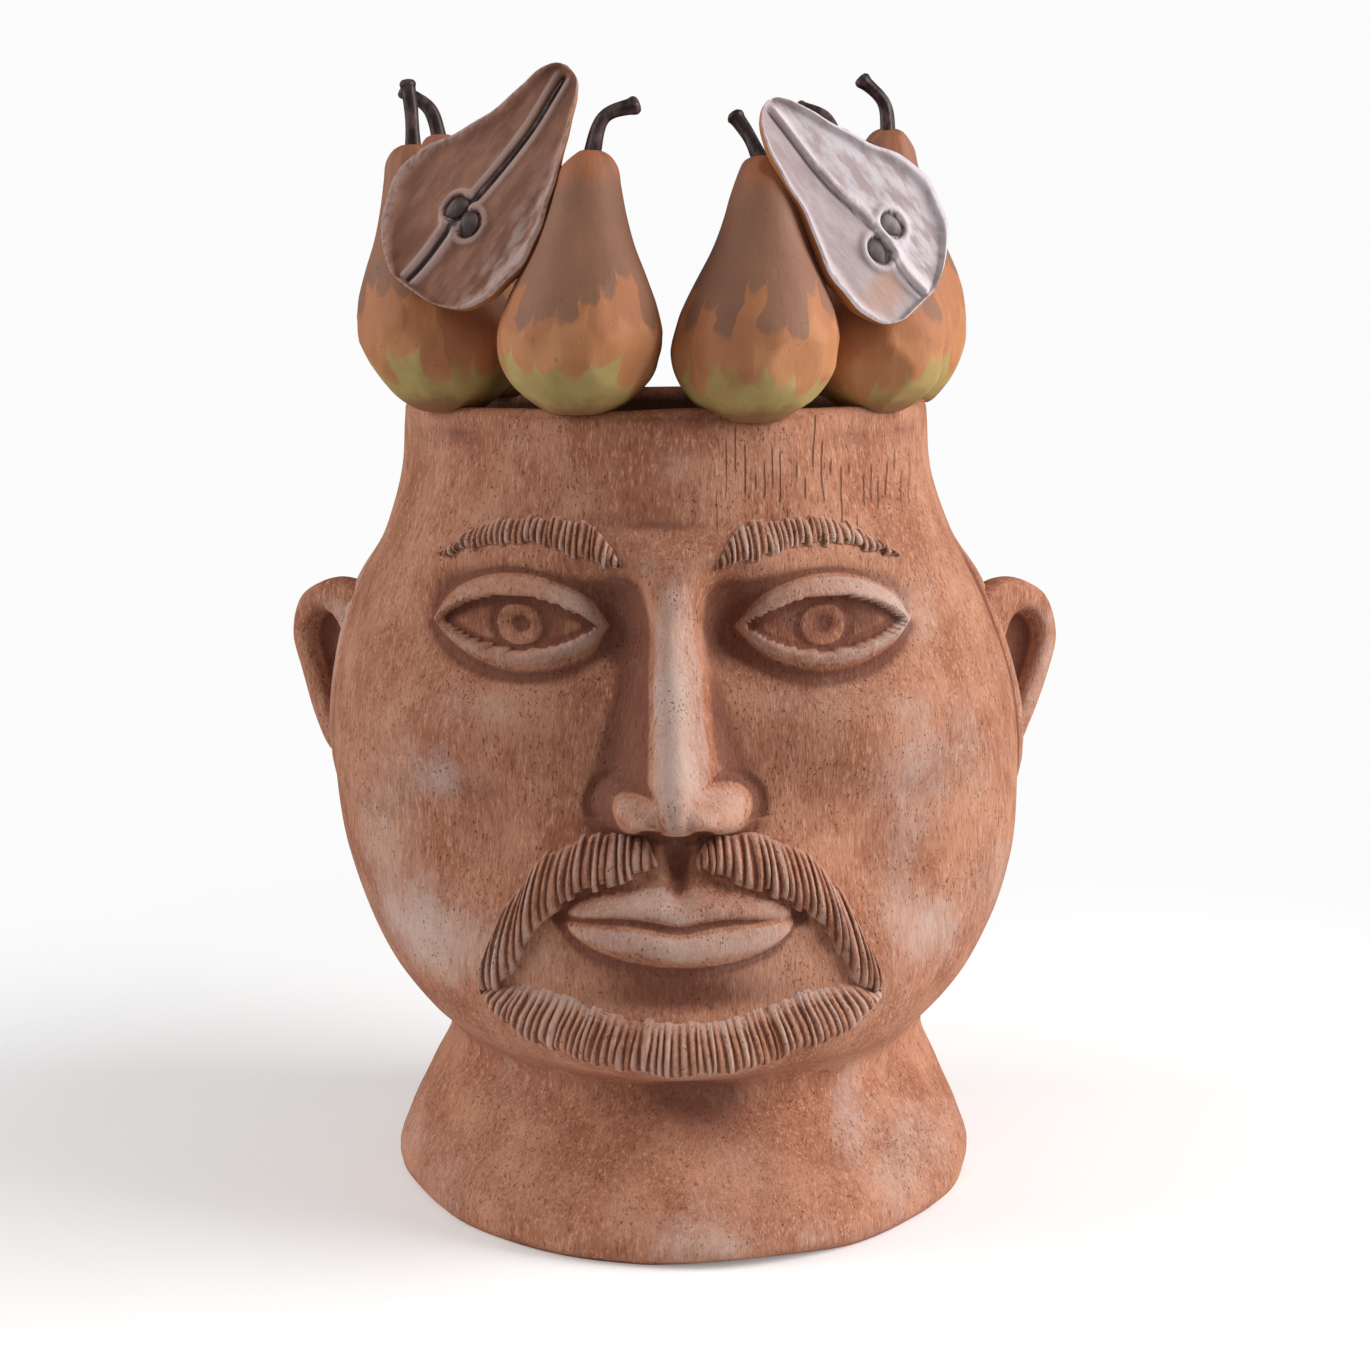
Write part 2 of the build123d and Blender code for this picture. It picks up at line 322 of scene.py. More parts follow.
def eye_relief(x, z):
    """Almond eyes with lids, a lid fold and a shallow ring for the iris."""
    q = (np.abs(x) - fifth) / eye_half_width
    across = np.clip(1.0 - q * q, 0.0, 1.0)
    upper = eye_height + 11.5 * across**0.85
    lower = eye_height - 9.5 * across**0.9
    beyond = np.clip(np.abs(q) - 1.0, 0.0, None) * eye_half_width
    outside = np.maximum(np.maximum(z - upper, lower - z), 0.0) + beyond
    inside = np.clip(np.minimum(upper - z, z - lower), 0.0, None) * (across > 0)
    radius = np.hypot(np.abs(x) - fifth, (z - eye_height) * 1.05)
    ball = 8.5 * np.sqrt(np.clip(1.0 - (radius / 33.0) ** 2, 0.0, 1.0))
    iris = -0.5 * np.exp(-(((radius - 9.8) / 1.3) ** 2)) + 0.7 * ease(9.6, 7.4, radius)
    iris += -0.9 * ease(4.0, 1.6, radius)
    lid = 5.0 * np.exp(-((outside / 5.0) ** 2)) * ease(0.0, 0.9, outside + 0.9 * (inside <= 0))
    fold = -1.2 * np.exp(-(((z - upper - 8.5) / 1.6) ** 2)) * across**0.5
    near = np.exp(-((outside / 9.0) ** 4))
    return (ball * 0.75 + iris * (inside > 0)) * near + lid + fold


def nose_relief(x, z):
    """Straight nose with rounded tip, wings and nostrils: push to the front."""
    side = np.abs(x)
    ridge = smooth_curve(
        [150.0, 166.0, 170.5, 173.5, 178.0, 184.0, 192.0, 206.0, 225.0, 246.0, 258.0, 268.0, 284.0],
        [0.0, 0.0, 4.0, 19.0, 33.0, 38.5, 37.0, 30.5, 22.0, 14.0, 10.0, 6.0, 0.0],
        z,
    )
    half_width = smooth_curve(
        [150.0, 171.0, 178.0, 184.0, 192.0, 206.0, 225.0, 246.0, 262.0, 284.0],
        [17.0, 18.0, 17.5, 16.5, 14.5, 12.5, 11.0, 10.5, 13.0, 20.0],
        z,
    )
    body = ridge * np.exp(-((side / half_width) ** 2.5))
    wing = 12.0 * np.exp(-((((side - 17.5) / 8.0) ** 2 + ((z - 180.5) / 8.0) ** 2) ** 1.3))
    from_wing = np.hypot((side - 18.0) / 1.2, z - 181.0)
    wing_edge = -1.6 * np.exp(-((from_wing - 11.5) / 1.8) ** 2) * (z > 176.0)
    nostril = -9.0 * swell(side, z, 9.5, 174.0, 4.2, 2.6)
    return body + wing + wing_edge + nostril


def mouth_relief(x, z):
    """Closed lips with a soft bow, the furrow above them and the hollow below."""
    q = np.clip(np.abs(x) / mouth_half_width, 0.0, 1.0)
    taper = np.sqrt(1.0 - q**2.2)
    dip = 1.4 * np.exp(-((x / 9.0) ** 2))
    arch = 1.2 * np.exp(-(((np.abs(x) - 18.0) / 12.0) ** 2))
    parting = mouth_height - dip + arch
    bow = 1.8 * np.exp(-(((np.abs(x) - 8.0) / 6.0) ** 2)) - 1.6 * np.exp(-((x / 4.0) ** 2))
    upper = mouth_height + (12.0 + bow) * taper**1.2
    lower = mouth_height - 16.5 * taper**1.1
    rise = np.clip((z - parting) / np.maximum(upper - parting, 0.5), 0.0, 1.0)
    fall = np.clip((parting - z) / np.maximum(parting - lower, 0.5), 0.0, 1.0)
    upper_lip = 6.5 * np.sin(np.pi * np.clip(0.16 + 0.8 * rise, 0.0, 1.0)) * (z >= parting) * (rise < 1.0)
    lower_lip = 7.5 * np.sin(np.pi * np.clip(0.14 + 0.8 * fall, 0.0, 1.0)) * (z < parting) * (fall < 1.0)
    edge = 1.0 * np.exp(-(((z - upper) / 1.6) ** 2)) * taper
    corner = -3.5 * swell(np.abs(x), z, mouth_half_width + 1.0, mouth_height, 5.0, 4.0)
    furrow = -2.0 * swell(x, z, 0.0, 160.0, 3.6, 7.0) + 1.0 * swell(np.abs(x), z, 6.5, 160.0, 2.6, 8.0)
    return (upper_lip + lower_lip) * taper + edge + corner + furrow


def ear_root_relief(x, y, z):
    """Clay smoothed up round the root of each ear."""
    near = np.hypot((y - 6.0) / 15.0, (z - 212.0) / 40.0)
    return 3.0 * np.exp(-(((near - 1.0) / 0.28) ** 2)) * (np.abs(x) > 90.0)


def clay_skin(angle, height, detail=True):
    """Points of the outer skin, the direction out of it, and the push away from the plain pot."""
    x, y, out_x, out_y = pot_ring(angle, height)
    in_front = ease(0.05, 0.3, np.cos(angle))
    push = (broad_relief(x, height) + neck_relief(x, height)) * in_front
    forward = np.zeros_like(push)
    if detail:
        push = push + (eye_relief(x, height) + mouth_relief(x, height)) * in_front
        push = push + ear_root_relief(x, y, height)
        forward = nose_relief(x, height) * in_front
    turn = np.arctan2(x, -y)
    hand = 0.7 * np.sin(3 * turn + 1.0 + height / 47.0) + 0.5 * np.sin(7 * turn - height / 23.0)
    hand += 0.35 * np.sin(13 * turn + height / 15.0)
    push = push + hand * ease(0.0, 12.0, rim_height - height)
    points = np.stack([x + out_x * push + lean_at(height), y + out_y * push - forward, height], -1)
    outward = np.stack([out_x, out_y, np.zeros_like(out_x)], -1)
    return points, outward, push + forward - neck_relief(x, height) * in_front


print("eye width", round(fifth), "mm, five to the head")

# %% [markdown]
# The skin needs small steps where there is detail and large ones at the back. The columns are
# spaced by a density that is highest in front, and the rows by one that is highest at the base
# of the nose. The mesh goes up the outside, over the rounded rim, down the inside and back
# across the foot, so it is closed.

# %% Build the pot


def spaced(low_end, high_end, count, density):
    """Places between two ends, closer together where the density is higher."""
    fine = np.linspace(low_end, high_end, 4000)
    total = np.cumsum(density(fine))
    return np.interp(np.linspace(total[0], total[-1], count), total, fine)


def blur(field, reach):
    """Mean over a few columns and rows, for telling hollows from crests."""
    for axis in (0, 1):
        edges = "wrap" if axis else "clip"
        padded = np.take(field, range(-reach, field.shape[axis] + reach), axis=axis, mode=edges)
        sums = np.cumsum(padded, axis=axis)
        upper = np.take(sums, range(2 * reach, padded.shape[axis]), axis=axis)
        lower = np.take(sums, range(0, padded.shape[axis] - 2 * reach), axis=axis)
        field = (upper - lower) / (2 * reach)
    return field


def column_density(angle):
    """More columns in front, and most of all on the nose."""
    return 0.32 + ease(1.75, 1.15, np.abs(angle)) + 0.5 * ease(0.25, 0.12, np.abs(angle))


def row_density(height):
    """More rows on the face, and most of all at the base of the nose."""
    face = ease(66.0, 76.0, height) * ease(296.0, 284.0, height)
    return 0.5 + face + 1.2 * swell(0, height, 0, nose_height + 2, 1, 6.0)


pot_angles = spaced(-math.pi, math.pi, 331, column_density)[:-1]
pot_heights = spaced(0.0, rim_height - 3.0, 225, row_density)
angle_grid, height_grid = np.meshgrid(pot_angles, pot_heights)
outer_points, _, outer_push = clay_skin(angle_grid, height_grid)


def inside_ring(height, inset, at_height):
    """Ring of the inner wall: it widens a little higher than the jaw outside."""
    lift = 9.0 * ease(neck_height, neck_height + 14.0, height) * ease(mouth_height, 118.0, height)
    x, y, _, _ = pot_ring(pot_angles, np.full_like(pot_angles, height - lift), -inset)
    return np.stack([x + lean_at(at_height), y, np.full_like(x, at_height)], -1)


rim_wobble = 1.1 * np.sin(4 * pot_angles + 0.6) + 0.7 * np.sin(9 * pot_angles)
rim_rings = []
for inset, drop in ((0.6, 1.2), (2.0, 0.2), (4.5, 0.0), (8.0, 0.0), (10.6, 0.3), (wall, 1.8)):
    ring = inside_ring(rim_height, inset, rim_height - drop)
    ring[:, 2] += rim_wobble * 0.5
    rim_rings.append(ring)
inner_rings = [inside_ring(h, wall, h) for h in np.linspace(rim_height - 6.0, 0.0, 70)]
foot_rings = [inside_ring(0.0, inset, 0.0) for inset in (8.0, 4.0)]
pot_rows = np.concatenate([outer_points, np.array(rim_rings), np.array(inner_rings), np.array(foot_rings)])
turn_grid = np.broadcast_to(pot_angles, pot_rows.shape[:2])
foot_wave = np.clip(np.sin(3 * turn_grid + 0.9) + 0.6 * np.sin(7 * turn_grid), 0.0, None)
pot_rows[..., 2] += 1.5 * foot_wave * ease(9.0, 0.0, pot_rows[..., 2])
pot = add_piece(
    "pot",
    pot_rows.reshape(-1, 3),
    ring_faces(len(pot_rows), len(pot_angles), close_rows=True),
    ["head_shell", "neck_base", "nose", "upper_lip", "lower_lip", "eye_left", "eye_right"],
)
# The relief value marks hollows and crests of the skin. The terracotta finish paints hollows dark as
# painted shade, and gives crests more pale slip as painted highlight.
relief = np.clip((outer_push - blur(outer_push, 3)) / 1.2, -1, 1) * 0.6
relief += np.clip((outer_push - blur(outer_push, 10)) / 4.0, -1, 1) * 0.6
inside_relief = np.zeros((len(pot_rows) - len(outer_points), len(pot_angles)))
add_value(pot, "relief", np.concatenate([relief, inside_relief]))
print("pot", len(pot.data.polygons), "quads")

# %% [markdown]
# ## Ears
# Each ear is a plate with a rolled edge and a long drop-shaped bowl. The rings of its mesh start
# behind, roll over the edge and go down into the bowl. The plate is pushed into the side of the
# head, which hides its root, as the luted joint does on the real pot.

# %% Ears
ear_height = 212.0
ear_reach = 138.5
ear_columns = 110
ear_turn = math.radians(40.0)
ear_edge = [(-20, -24), (2, -37), (15, -24), (25, -2), (29, 14), (22, 31), (2, 38.5), (-18, 30), (-26, 2)]
ear_bowl = [(2, -14), (6, -20), (12, -10), (18, 4), (20, 15), (13, 24), (3, 22), (-3, 10), (-2, -4)]
ear_steps = [
    (0.0, 0.0, -10.0),
    (0.0, 0.55, -10.5),
    (0.0, 0.82, -9.5),
    (0.0, 0.96, -6.5),
    (0.0, 1.0, -3.0),
    (0.0, 1.0, 0.5),
    (0.0, 0.98, 3.2),
    (0.12, 1.0, 5.0),
    (0.45, 1.0, 5.9),
    (0.8, 1.0, 5.2),
    (1.0, 1.0, 3.2),
    (1.0, 0.93, 0.0),
    (1.0, 0.84, -3.0),
    (1.0, 0.6, -5.2),
    (1.0, 0.3, -6.0),
    (1.0, 0.02, -6.2),
]


def closed_loop(points, count):
    """Smooth closed loop through a few points, starting and ending at the first."""
    ends = np.array(points[-2:] + points + points[:3], float)
    knots = np.arange(-2, len(points) + 3, dtype=float)
    at = np.linspace(0.0, len(points), count, endpoint=False)
    return np.stack([smooth_curve(knots, ends[:, k], at) for k in (0, 1)], -1)


def build_ear(name, side):
    """Ear on the left (side -1) or on the right (side 1)."""
    outward = np.array([side * math.cos(ear_turn), math.sin(ear_turn), 0.0])
    facing = np.array([side * math.sin(ear_turn), -math.cos(ear_turn), 0.0])
    root = np.array([side * ear_reach + lean_at(ear_height), 4.0, ear_height])
    edge = closed_loop(ear_edge, ear_columns)
    bowl = closed_loop(ear_bowl, ear_columns)
    knots = np.arange(len(ear_steps), dtype=float)
    at = np.linspace(0, len(ear_steps) - 1, 61)
    toward, size, front = (smooth_curve(knots, [s[k] for s in ear_steps], at) for k in range(3))
    rows = []
    for t, s, f in zip(toward, size, front):
        loop = edge * (1 - t) + bowl * t
        middle = edge.mean(0) * (1 - t) + bowl.mean(0) * t
        loop = middle + (loop - middle) * max(s, 0.015)
        wave = 0.5 * np.sin(loop[:, 1] / 9.0 + side)
        rows.append(root + np.outer(loop[:, 0], outward) + np.outer(f + wave, facing))
        rows[-1][:, 2] += loop[:, 1]
    points, faces = closed_tube(np.array(rows))
    ear = add_piece(name, points, faces, [name])
    # The bowl of the ear gets a low relief value and is painted dark as painted shade. The rolled edge gets
    # a high one and more pale slip, as painted highlight.
    depth = np.repeat(np.clip(front / 6.0, -1, 1) * toward, ear_columns)
    add_value(ear, "relief", depth)
    return ear


ears = [build_ear("ear_left", -1), build_ear("ear_right", 1)]
print("ears", [len(e.data.polygons) for e in ears])

# %% [markdown]
# ## Combed hair: brows, moustache and beard
# The potter laid a pad of soft clay for each of these and dragged a toothed tool across it, so
# the strands are ridges with grooves between them. Each column of the mesh follows one strand,
# from the upper line of the pad to the lower one. Random widths, lengths and heights for each
# strand keep the comb from looking like a machine's.

# %% Combed pads


column_pitch = 0.52
pad_rows = 44
buried_depth = 3.5


def comb_strands(columns, pitch, rng):
    """For each column, how near the crest of its strand it is, and that strand's random values."""
    edges = [columns[0] - 1.0]
    while edges[-1] < columns[-1]:
        edges.append(edges[-1] + pitch * rng.uniform(0.72, 1.3))
    edges = np.array(edges)
    strand = np.clip(np.searchsorted(edges, columns) - 1, 0, len(edges) - 2)
    q = (columns - edges[strand]) / (edges[strand + 1] - edges[strand])
    crest = np.clip(1.0 - (2 * q - 1) ** 2, 0.0, 1.0) ** 0.95
    ranges = ((0.8, 1.15), (-0.9, 1.1), (-1.6, 1.6), (-0.5, 0.5))
    lift, early, late, sway = (rng.uniform(*ends, len(edges))[strand] for ends in ranges)
    return crest, lift, early, late, sway


def combed_pad(name, side, upper, lower, thickness, pitch, fan, profile, seed):
    """Pad between two lines (x, z) on the face, ridged by a comb. Returns the piece."""
    count = int((upper[-1][0] - upper[0][0]) / column_pitch)
    columns = spaced(upper[0][0], upper[-1][0], count, np.ones_like)
    knots_u, top = zip(*upper)
    knots_l, bottom = zip(*lower)
    rng = np.random.default_rng(seed)
    crest, lift, early, late, sway = comb_strands(columns, pitch, rng)
    late = late * min(1.0, len(upper) / 7)
    span = columns[-1] - columns[0]
    from_end = np.minimum(columns - columns[0], columns[-1] - columns)
    end_taper = np.sqrt(np.clip(from_end / (0.05 * span), 0.02, 1))
    top_z = smooth_curve(knots_u, top, columns)
    bottom_z = np.minimum(smooth_curve(knots_l, bottom, columns), top_z - 0.4)
    length = top_z - bottom_z
    way_back = [0.9, 0.5, 0.1]
    t = np.concatenate([np.linspace(0, 1, pad_rows), way_back])
    buried = np.concatenate([np.zeros(pad_rows), np.ones(len(way_back))])
    t_grid, _ = np.meshgrid(t, columns)
    z = top_z[:, None] + early[:, None] * (1 - t_grid) - (length + late * end_taper)[:, None] * t_grid
    x = columns[:, None] + (t_grid - 0.5) * (fan(columns) * length)[:, None]
    x = x + sway[:, None] * np.sin(3.0 * t_grid + columns[:, None])
    rise = profile(t_grid) * end_taper[:, None]
    groove = (1.0 - crest * lift)[:, None] * np.clip(rise * 1.6, 0, 1)
    burr = rng.normal(0.0, 0.12, t_grid.shape) * rise
    edge_drop = 1.2 * (1 - np.clip(rise * 5, 0, 1))
    height = thickness * rise - 0.608 * pitch * groove + burr - edge_drop
    height = np.where(buried[None, :] > 0, -buried_depth, height)
    half_width = smooth_curve(ring_heights, ring_widths, z)
    angle = np.arcsin(np.clip(side * x / half_width, -0.98, 0.98))
    base, outward, _ = clay_skin(angle, z, detail=False)
    points, faces = closed_tube(base + outward * height[..., None])
    if side > 0:
        faces = [face[::-1] for face in faces]
    pad = add_piece(name, points, faces, [name])
    # Painted shade and painted highlight: the grooves between strands get a low relief value and are
    # painted dark, and the strand crests get more pale slip.
    add_value(pad, "relief", np.clip(0.6 - 1.9 * groove, -1, 1))
    add_value(pad, "slip", 0.30 * (1 - np.clip(groove, 0, 1)))
    return pad


def domed(t):
    """Cross-section of the moustache: full all over, rounded at both edges."""
    return np.sin(np.pi * np.clip(t, 0, 1)) ** 0.5


def rolled(t):
    """Cross-section of the beard: it rises slowly and rolls over at its lower edge."""
    return ease(0.0, 0.55, t) * np.sqrt(np.clip(1 - ((t - 0.62) / 0.38).clip(0, 1) ** 2.5, 0, 1))


brow_upper = [(15.0, 267.0), (22.0, 278.0), (46.0, 286.0), (70.0, 282.0), (88.0, 269.0)]
brow_lower = [(15.0, 267.0), (30.0, 271.0), (48.0, 276.0), (68.0, 274.0), (88.0, 269.0)]
moustache_upper = [(7.0, 161.0), (11.0, 168.0), (22.0, 171.0), (42.0, 166.0), (60.0, 152.0)]
moustache_upper += [(71.0, 130.0), (75.0, 107.0)]
moustache_lower = [(7.0, 159.0), (24.0, 152.0), (42.0, 143.0), (54.0, 129.0), (62.0, 112.0), (75.0, 104.0)]
beard_half = [(30.0, 107.0), (50.0, 113.0), (62.0, 113.0), (76.0, 108.0)]
beard_edge = [(34.0, 84.0), (60.0, 93.0), (76.0, 106.0)]
beard_upper = [(-x, z) for x, z in reversed(beard_half)] + [(0.0, 104.0)] + beard_half
beard_lower = [(-x, z) for x, z in reversed(beard_edge)] + [(0.0, 80.5)] + beard_edge


def brow_fan(places):
    """Brow strands stand nearly upright."""
    return 0.1 + 0 * places


def moustache_fan(places):
    """Moustache strands slant outward, more so towards the outer end."""
    return (places - 14.0) / 260.0


def beard_fan(places):
    """Beard strands spread to both sides from the middle of the chin."""
    return places / 190.0


hair = []
for number, (label, side) in enumerate((("left", -1), ("right", 1))):
    brow = combed_pad(f"brow_{label}", side, brow_upper, brow_lower, 3.2, 2.2, brow_fan, domed, 11 + number)
    lines = (moustache_upper, moustache_lower)
    moustache = combed_pad(f"moustache_{label}", side, *lines, 8.5, 2.9, moustache_fan, domed, 21 + number)
    hair += [brow, moustache]
hair.append(combed_pad("chin_beard", 1, beard_upper, beard_lower, 7.0, 2.5, beard_fan, rolled, 31))
print("combed pads", {p.name: len(p.data.polygons) for p in hair})

# %% [markdown]
# ## Whole pears
# A pear is turned from a profile: a shallow dimple at the blossom end, a round belly, a long
# shoulder and a narrow top. The potter shapes it in the hands and trims it with a knife, so it
# is never quite round. Flat cuts are made by pushing every point that stands beyond a plane
# back on to that plane, and a few slow waves give the rest.

# %% Places and sizes of the pears
# name: angle from the front, ring radius, belly radius, height, belly height, sink, lean of the top
pears = {
    "front_left": (-18.5, 101.0, 31.0, 97.0, 25.0, 2.0, (5.0, 0.0)),
    "front_right": (18.5, 101.0, 31.0, 98.0, 26.0, 5.0, (5.0, 0.0)),
    "left_front": (-56.0, 101.5, 31.0, 102.0, 26.0, 3.0, (-12.0, -3.0)),
    "right_front": (54.0, 100.5, 29.8, 94.0, 25.0, 3.0, (2.0, 5.0)),
    "left_side": (-93.5, 92.5, 29.3, 110.0, 33.0, 3.0, (0.0, 4.0)),
    "right_side": (92.5, 98.0, 29.5, 112.0, 35.0, 3.0, (-7.0, 0.0)),
    "left_back": (-130.5, 100.0, 28.7, 99.0, 26.0, 3.0, (5.0, 2.0)),
    "right_back": (128.0, 100.5, 29.5, 116.0, 33.0, 3.0, (-6.0, 2.0)),
    "back_left": (-163.5, 101.5, 27.0, 90.0, 25.0, 3.0, (-4.0, 6.0)),
    "back_right": (161.5, 101.5, 26.0, 90.0, 25.0, 3.0, (8.0, 4.0)),
}
usual_height = 97.0


def unit(vector):
    """Vector of length 1 along another."""
    vector = np.asarray(vector, float)
    return vector / np.linalg.norm(vector)


def pear_profile(radius, belly, height, count):
    """Radius and height along the outline of a pear, from its blossom end to its top."""
    upper = height - belly
    outline = [
        (0.0, 1.2),
        (0.12, 0.2),
        (0.34, 0.6),
        (0.62, 0.22 * belly),
        (0.84, 0.5 * belly),
        (0.96, 0.78 * belly),
        (1.0, belly + 0.05 * upper),
        (0.93, belly + 0.2 * upper),
        (0.78, belly + 0.36 * upper),
        (0.6, belly + 0.53 * upper),
        (0.47, belly + 0.7 * upper),
        (0.4, belly + 0.82 * upper),
        (0.34, belly + 0.92 * upper),
        (0.22, belly + 0.98 * upper),
        (0.08, height),
        (0.0, height - 0.5),
    ]
    shares, heights = (np.array(column) for column in zip(*outline))
    steps = np.hypot(np.diff(shares * radius), np.diff(heights))
    knots = np.concatenate([[0.0], np.cumsum(steps)])
    at = np.linspace(0.0, knots[-1], count)
    return np.maximum(smooth_curve(knots, shares * radius, at), 0.05), smooth_curve(knots, heights, at)


def trim_flats(points, centre, rng, cuts, depth):
    """Knife cuts: points beyond a random plane are pushed back on to it."""
    for _ in range(cuts):
        direction = unit(rng.normal(size=3) * (1.0, 1.0, 0.55) + (0.0, 0.0, -0.25))
        reach = (points - centre) @ direction
        beyond = np.clip(reach - (reach.max() - depth * rng.uniform(0.4, 1.0)), 0.0, None)
        points = points - 0.85 * beyond[..., None] * direction
    return points


def build_pear(name, number):
    """Whole pear with its foot on the rim. Returns the piece and the place of its top."""
    angle, ring_radius, radius, height, belly, sink, top_lean = pears[name]
    rng = np.random.default_rng(100 + number)
    turn = math.radians(angle)
    foot_x = lean_at(rim_height) + ring_radius * math.sin(turn)
    foot = np.array([foot_x, -ring_radius * math.cos(turn), rim_height - sink])
    rows, columns = 84, 96
    radii, heights = pear_profile(radius, belly, height, rows)
    around = np.linspace(0.0, 2 * math.pi, columns, endpoint=False)
    seam = turn + math.pi / 2
    r, a = np.meshgrid(radii, around, indexing="ij")
    z = np.repeat(heights[:, None], columns, 1)
    wave = np.zeros_like(z)
    for size, bumps, twist in ((0.022, 2, 40), (0.014, 3, -22), (0.008, 5, 13)):
        wave += size * np.sin(bumps * a + rng.uniform(0, 6) + z / twist)
    r = r * (1 + wave)
    body = np.stack([r * np.cos(a + seam), r * np.sin(a + seam), z], -1)
    body = trim_flats(body, np.array([0.0, 0.0, belly]), rng, 34, 1.7)
    bend = rng.uniform(-2.0, 2.0, 2)
    shift = np.array([*top_lean, 0.0]) / height
    bow = np.sin(math.pi * np.clip((z - belly) / (height - belly), 0, 1))
    body = foot + body + z[..., None] * shift + bow[..., None] * np.array([*bend, 0.0])
    points, faces = closed_tube(body)
    pear = add_piece(f"pear_{name}", points, faces, [f"pear_{name}"])
    skin = np.stack([a * radius, z / height * usual_height, np.full_like(a, 3.7 * number)], -1)
    add_vector(pear, "paint", skin.reshape(-1, 3))
    return pear, foot + np.array([*top_lean, height])


whole_pears = {}
pear_tops = {}
for number, name in enumerate(pears):
    whole_pears[name], pear_tops[name] = build_pear(name, number)
print("pears", len(whole_pears))

# %% [markdown]
# ## Stems
# Each stem is a rolled coil of clay, a little thicker at both ends, pushed into the top of its
# pear. The tube below follows a smooth path through three points. Fine ridges run along it.

# %% Stems


def tube_along(path, radii, columns, ripple, seed):
    """Rings of points round a path, each with its own radius, and with ridges along it."""
    tangents = np.gradient(path, axis=0)
    tangents /= np.linalg.norm(tangents, axis=1)[:, None]
    first = np.cross(tangents, (0.25, 1.0, 0.1))
    first /= np.linalg.norm(first, axis=1)[:, None]
    second = np.cross(tangents, first)
    around = np.linspace(0.0, 2 * math.pi, columns, endpoint=False)
    rng = np.random.default_rng(seed)
    ridges = 1.0 + ripple * rng.normal(size=columns)
    ridges = np.outer(1.0 + 0.05 * np.sin(np.linspace(0, 9, len(path)) + seed), ridges)
    offset = np.asarray(radii)[:, None] * ridges
    first_part = (offset * np.cos(around))[..., None] * first[:, None, :]
    second_part = (offset * np.sin(around))[..., None] * second[:, None, :]
    return path[:, None, :] + first_part + second_part


stem_radius = 2.65
# name: middle and end of the stem, measured from the top of its pear
stem_bends = {
    "front_left": ((5.0, 0.0, 11.5), (18.0, -1.0, 16.5)),
    "front_right": ((-5.0, 9.0, 7.0), (-11.0, 13.0, 16.0)),
    "left_front": ((-0.5, 0.0, 12.0), (-2.0, 1.0, 24.0)),
    "right_front": ((-3.0, 5.0, 6.0), (-9.0, 11.0, 9.0)),
    "left_side": ((-4.5, 0.0, 10.0), (-16.0, 0.0, 18.0)),
    "right_side": ((-2.0, 0.0, 10.0), (-12.0, -1.0, 20.0)),
    "left_back": ((4.0, 0.0, 13.0), (9.0, 0.0, 31.0)),
    "right_back": ((-5.0, 1.0, 5.0), (-17.0, 2.0, 9.0)),
    "back_left": ((-3.0, 3.0, 8.0), (-9.0, 8.0, 13.0)),
    "back_right": ((4.0, 3.0, 9.0), (6.0, 9.0, 17.0)),
}


def build_stem(name, number):
    """Bent stem from inside the top of its pear to a blunt end."""
    middle, end = (np.array(offset) for offset in stem_bends[name])
    top = pear_tops[name]
    start = top - np.array([0.0, 0.0, 4.5])
    at = np.linspace(0.0, 1.0, 46)
    marks = np.array([start, top + middle, top + end])
    path = np.stack([smooth_curve([0.0, 0.5, 1.0], marks[:, k], at) for k in range(3)], -1)
    radii = smooth_curve([0.0, 0.25, 0.6, 0.86, 0.97, 1.0], [3.4, 2.9, stem_radius, 2.8, 3.1, 2.5], at)
    close = unit(path[-1] - path[-2])
    path = np.concatenate([path, [path[-1] + close * 0.35, path[-1] + close * 0.4]])
    radii = np.concatenate([radii, [1.3, 0.2]])
    points, faces = closed_tube(tube_along(path, radii, 26, 0.035, number))
    return add_piece(f"stem_{name}", points, faces, [f"stem_{name}"])


stems = [build_stem(name, number) for number, name in enumerate(pears)]
print("stems", len(stems))

# %% [markdown]
# ## Half pears
# A half pear is a pear cut along its length. The cut face is slightly dished, with the rind
# standing up round it as a rim, and a groove or a raised thread runs from the stem end through
# the seeds to the blossom end. Each mesh is a tube: part of every ring crosses the cut face and
# the rest goes round the rind behind. The outline is given by widths to each side of the middle.

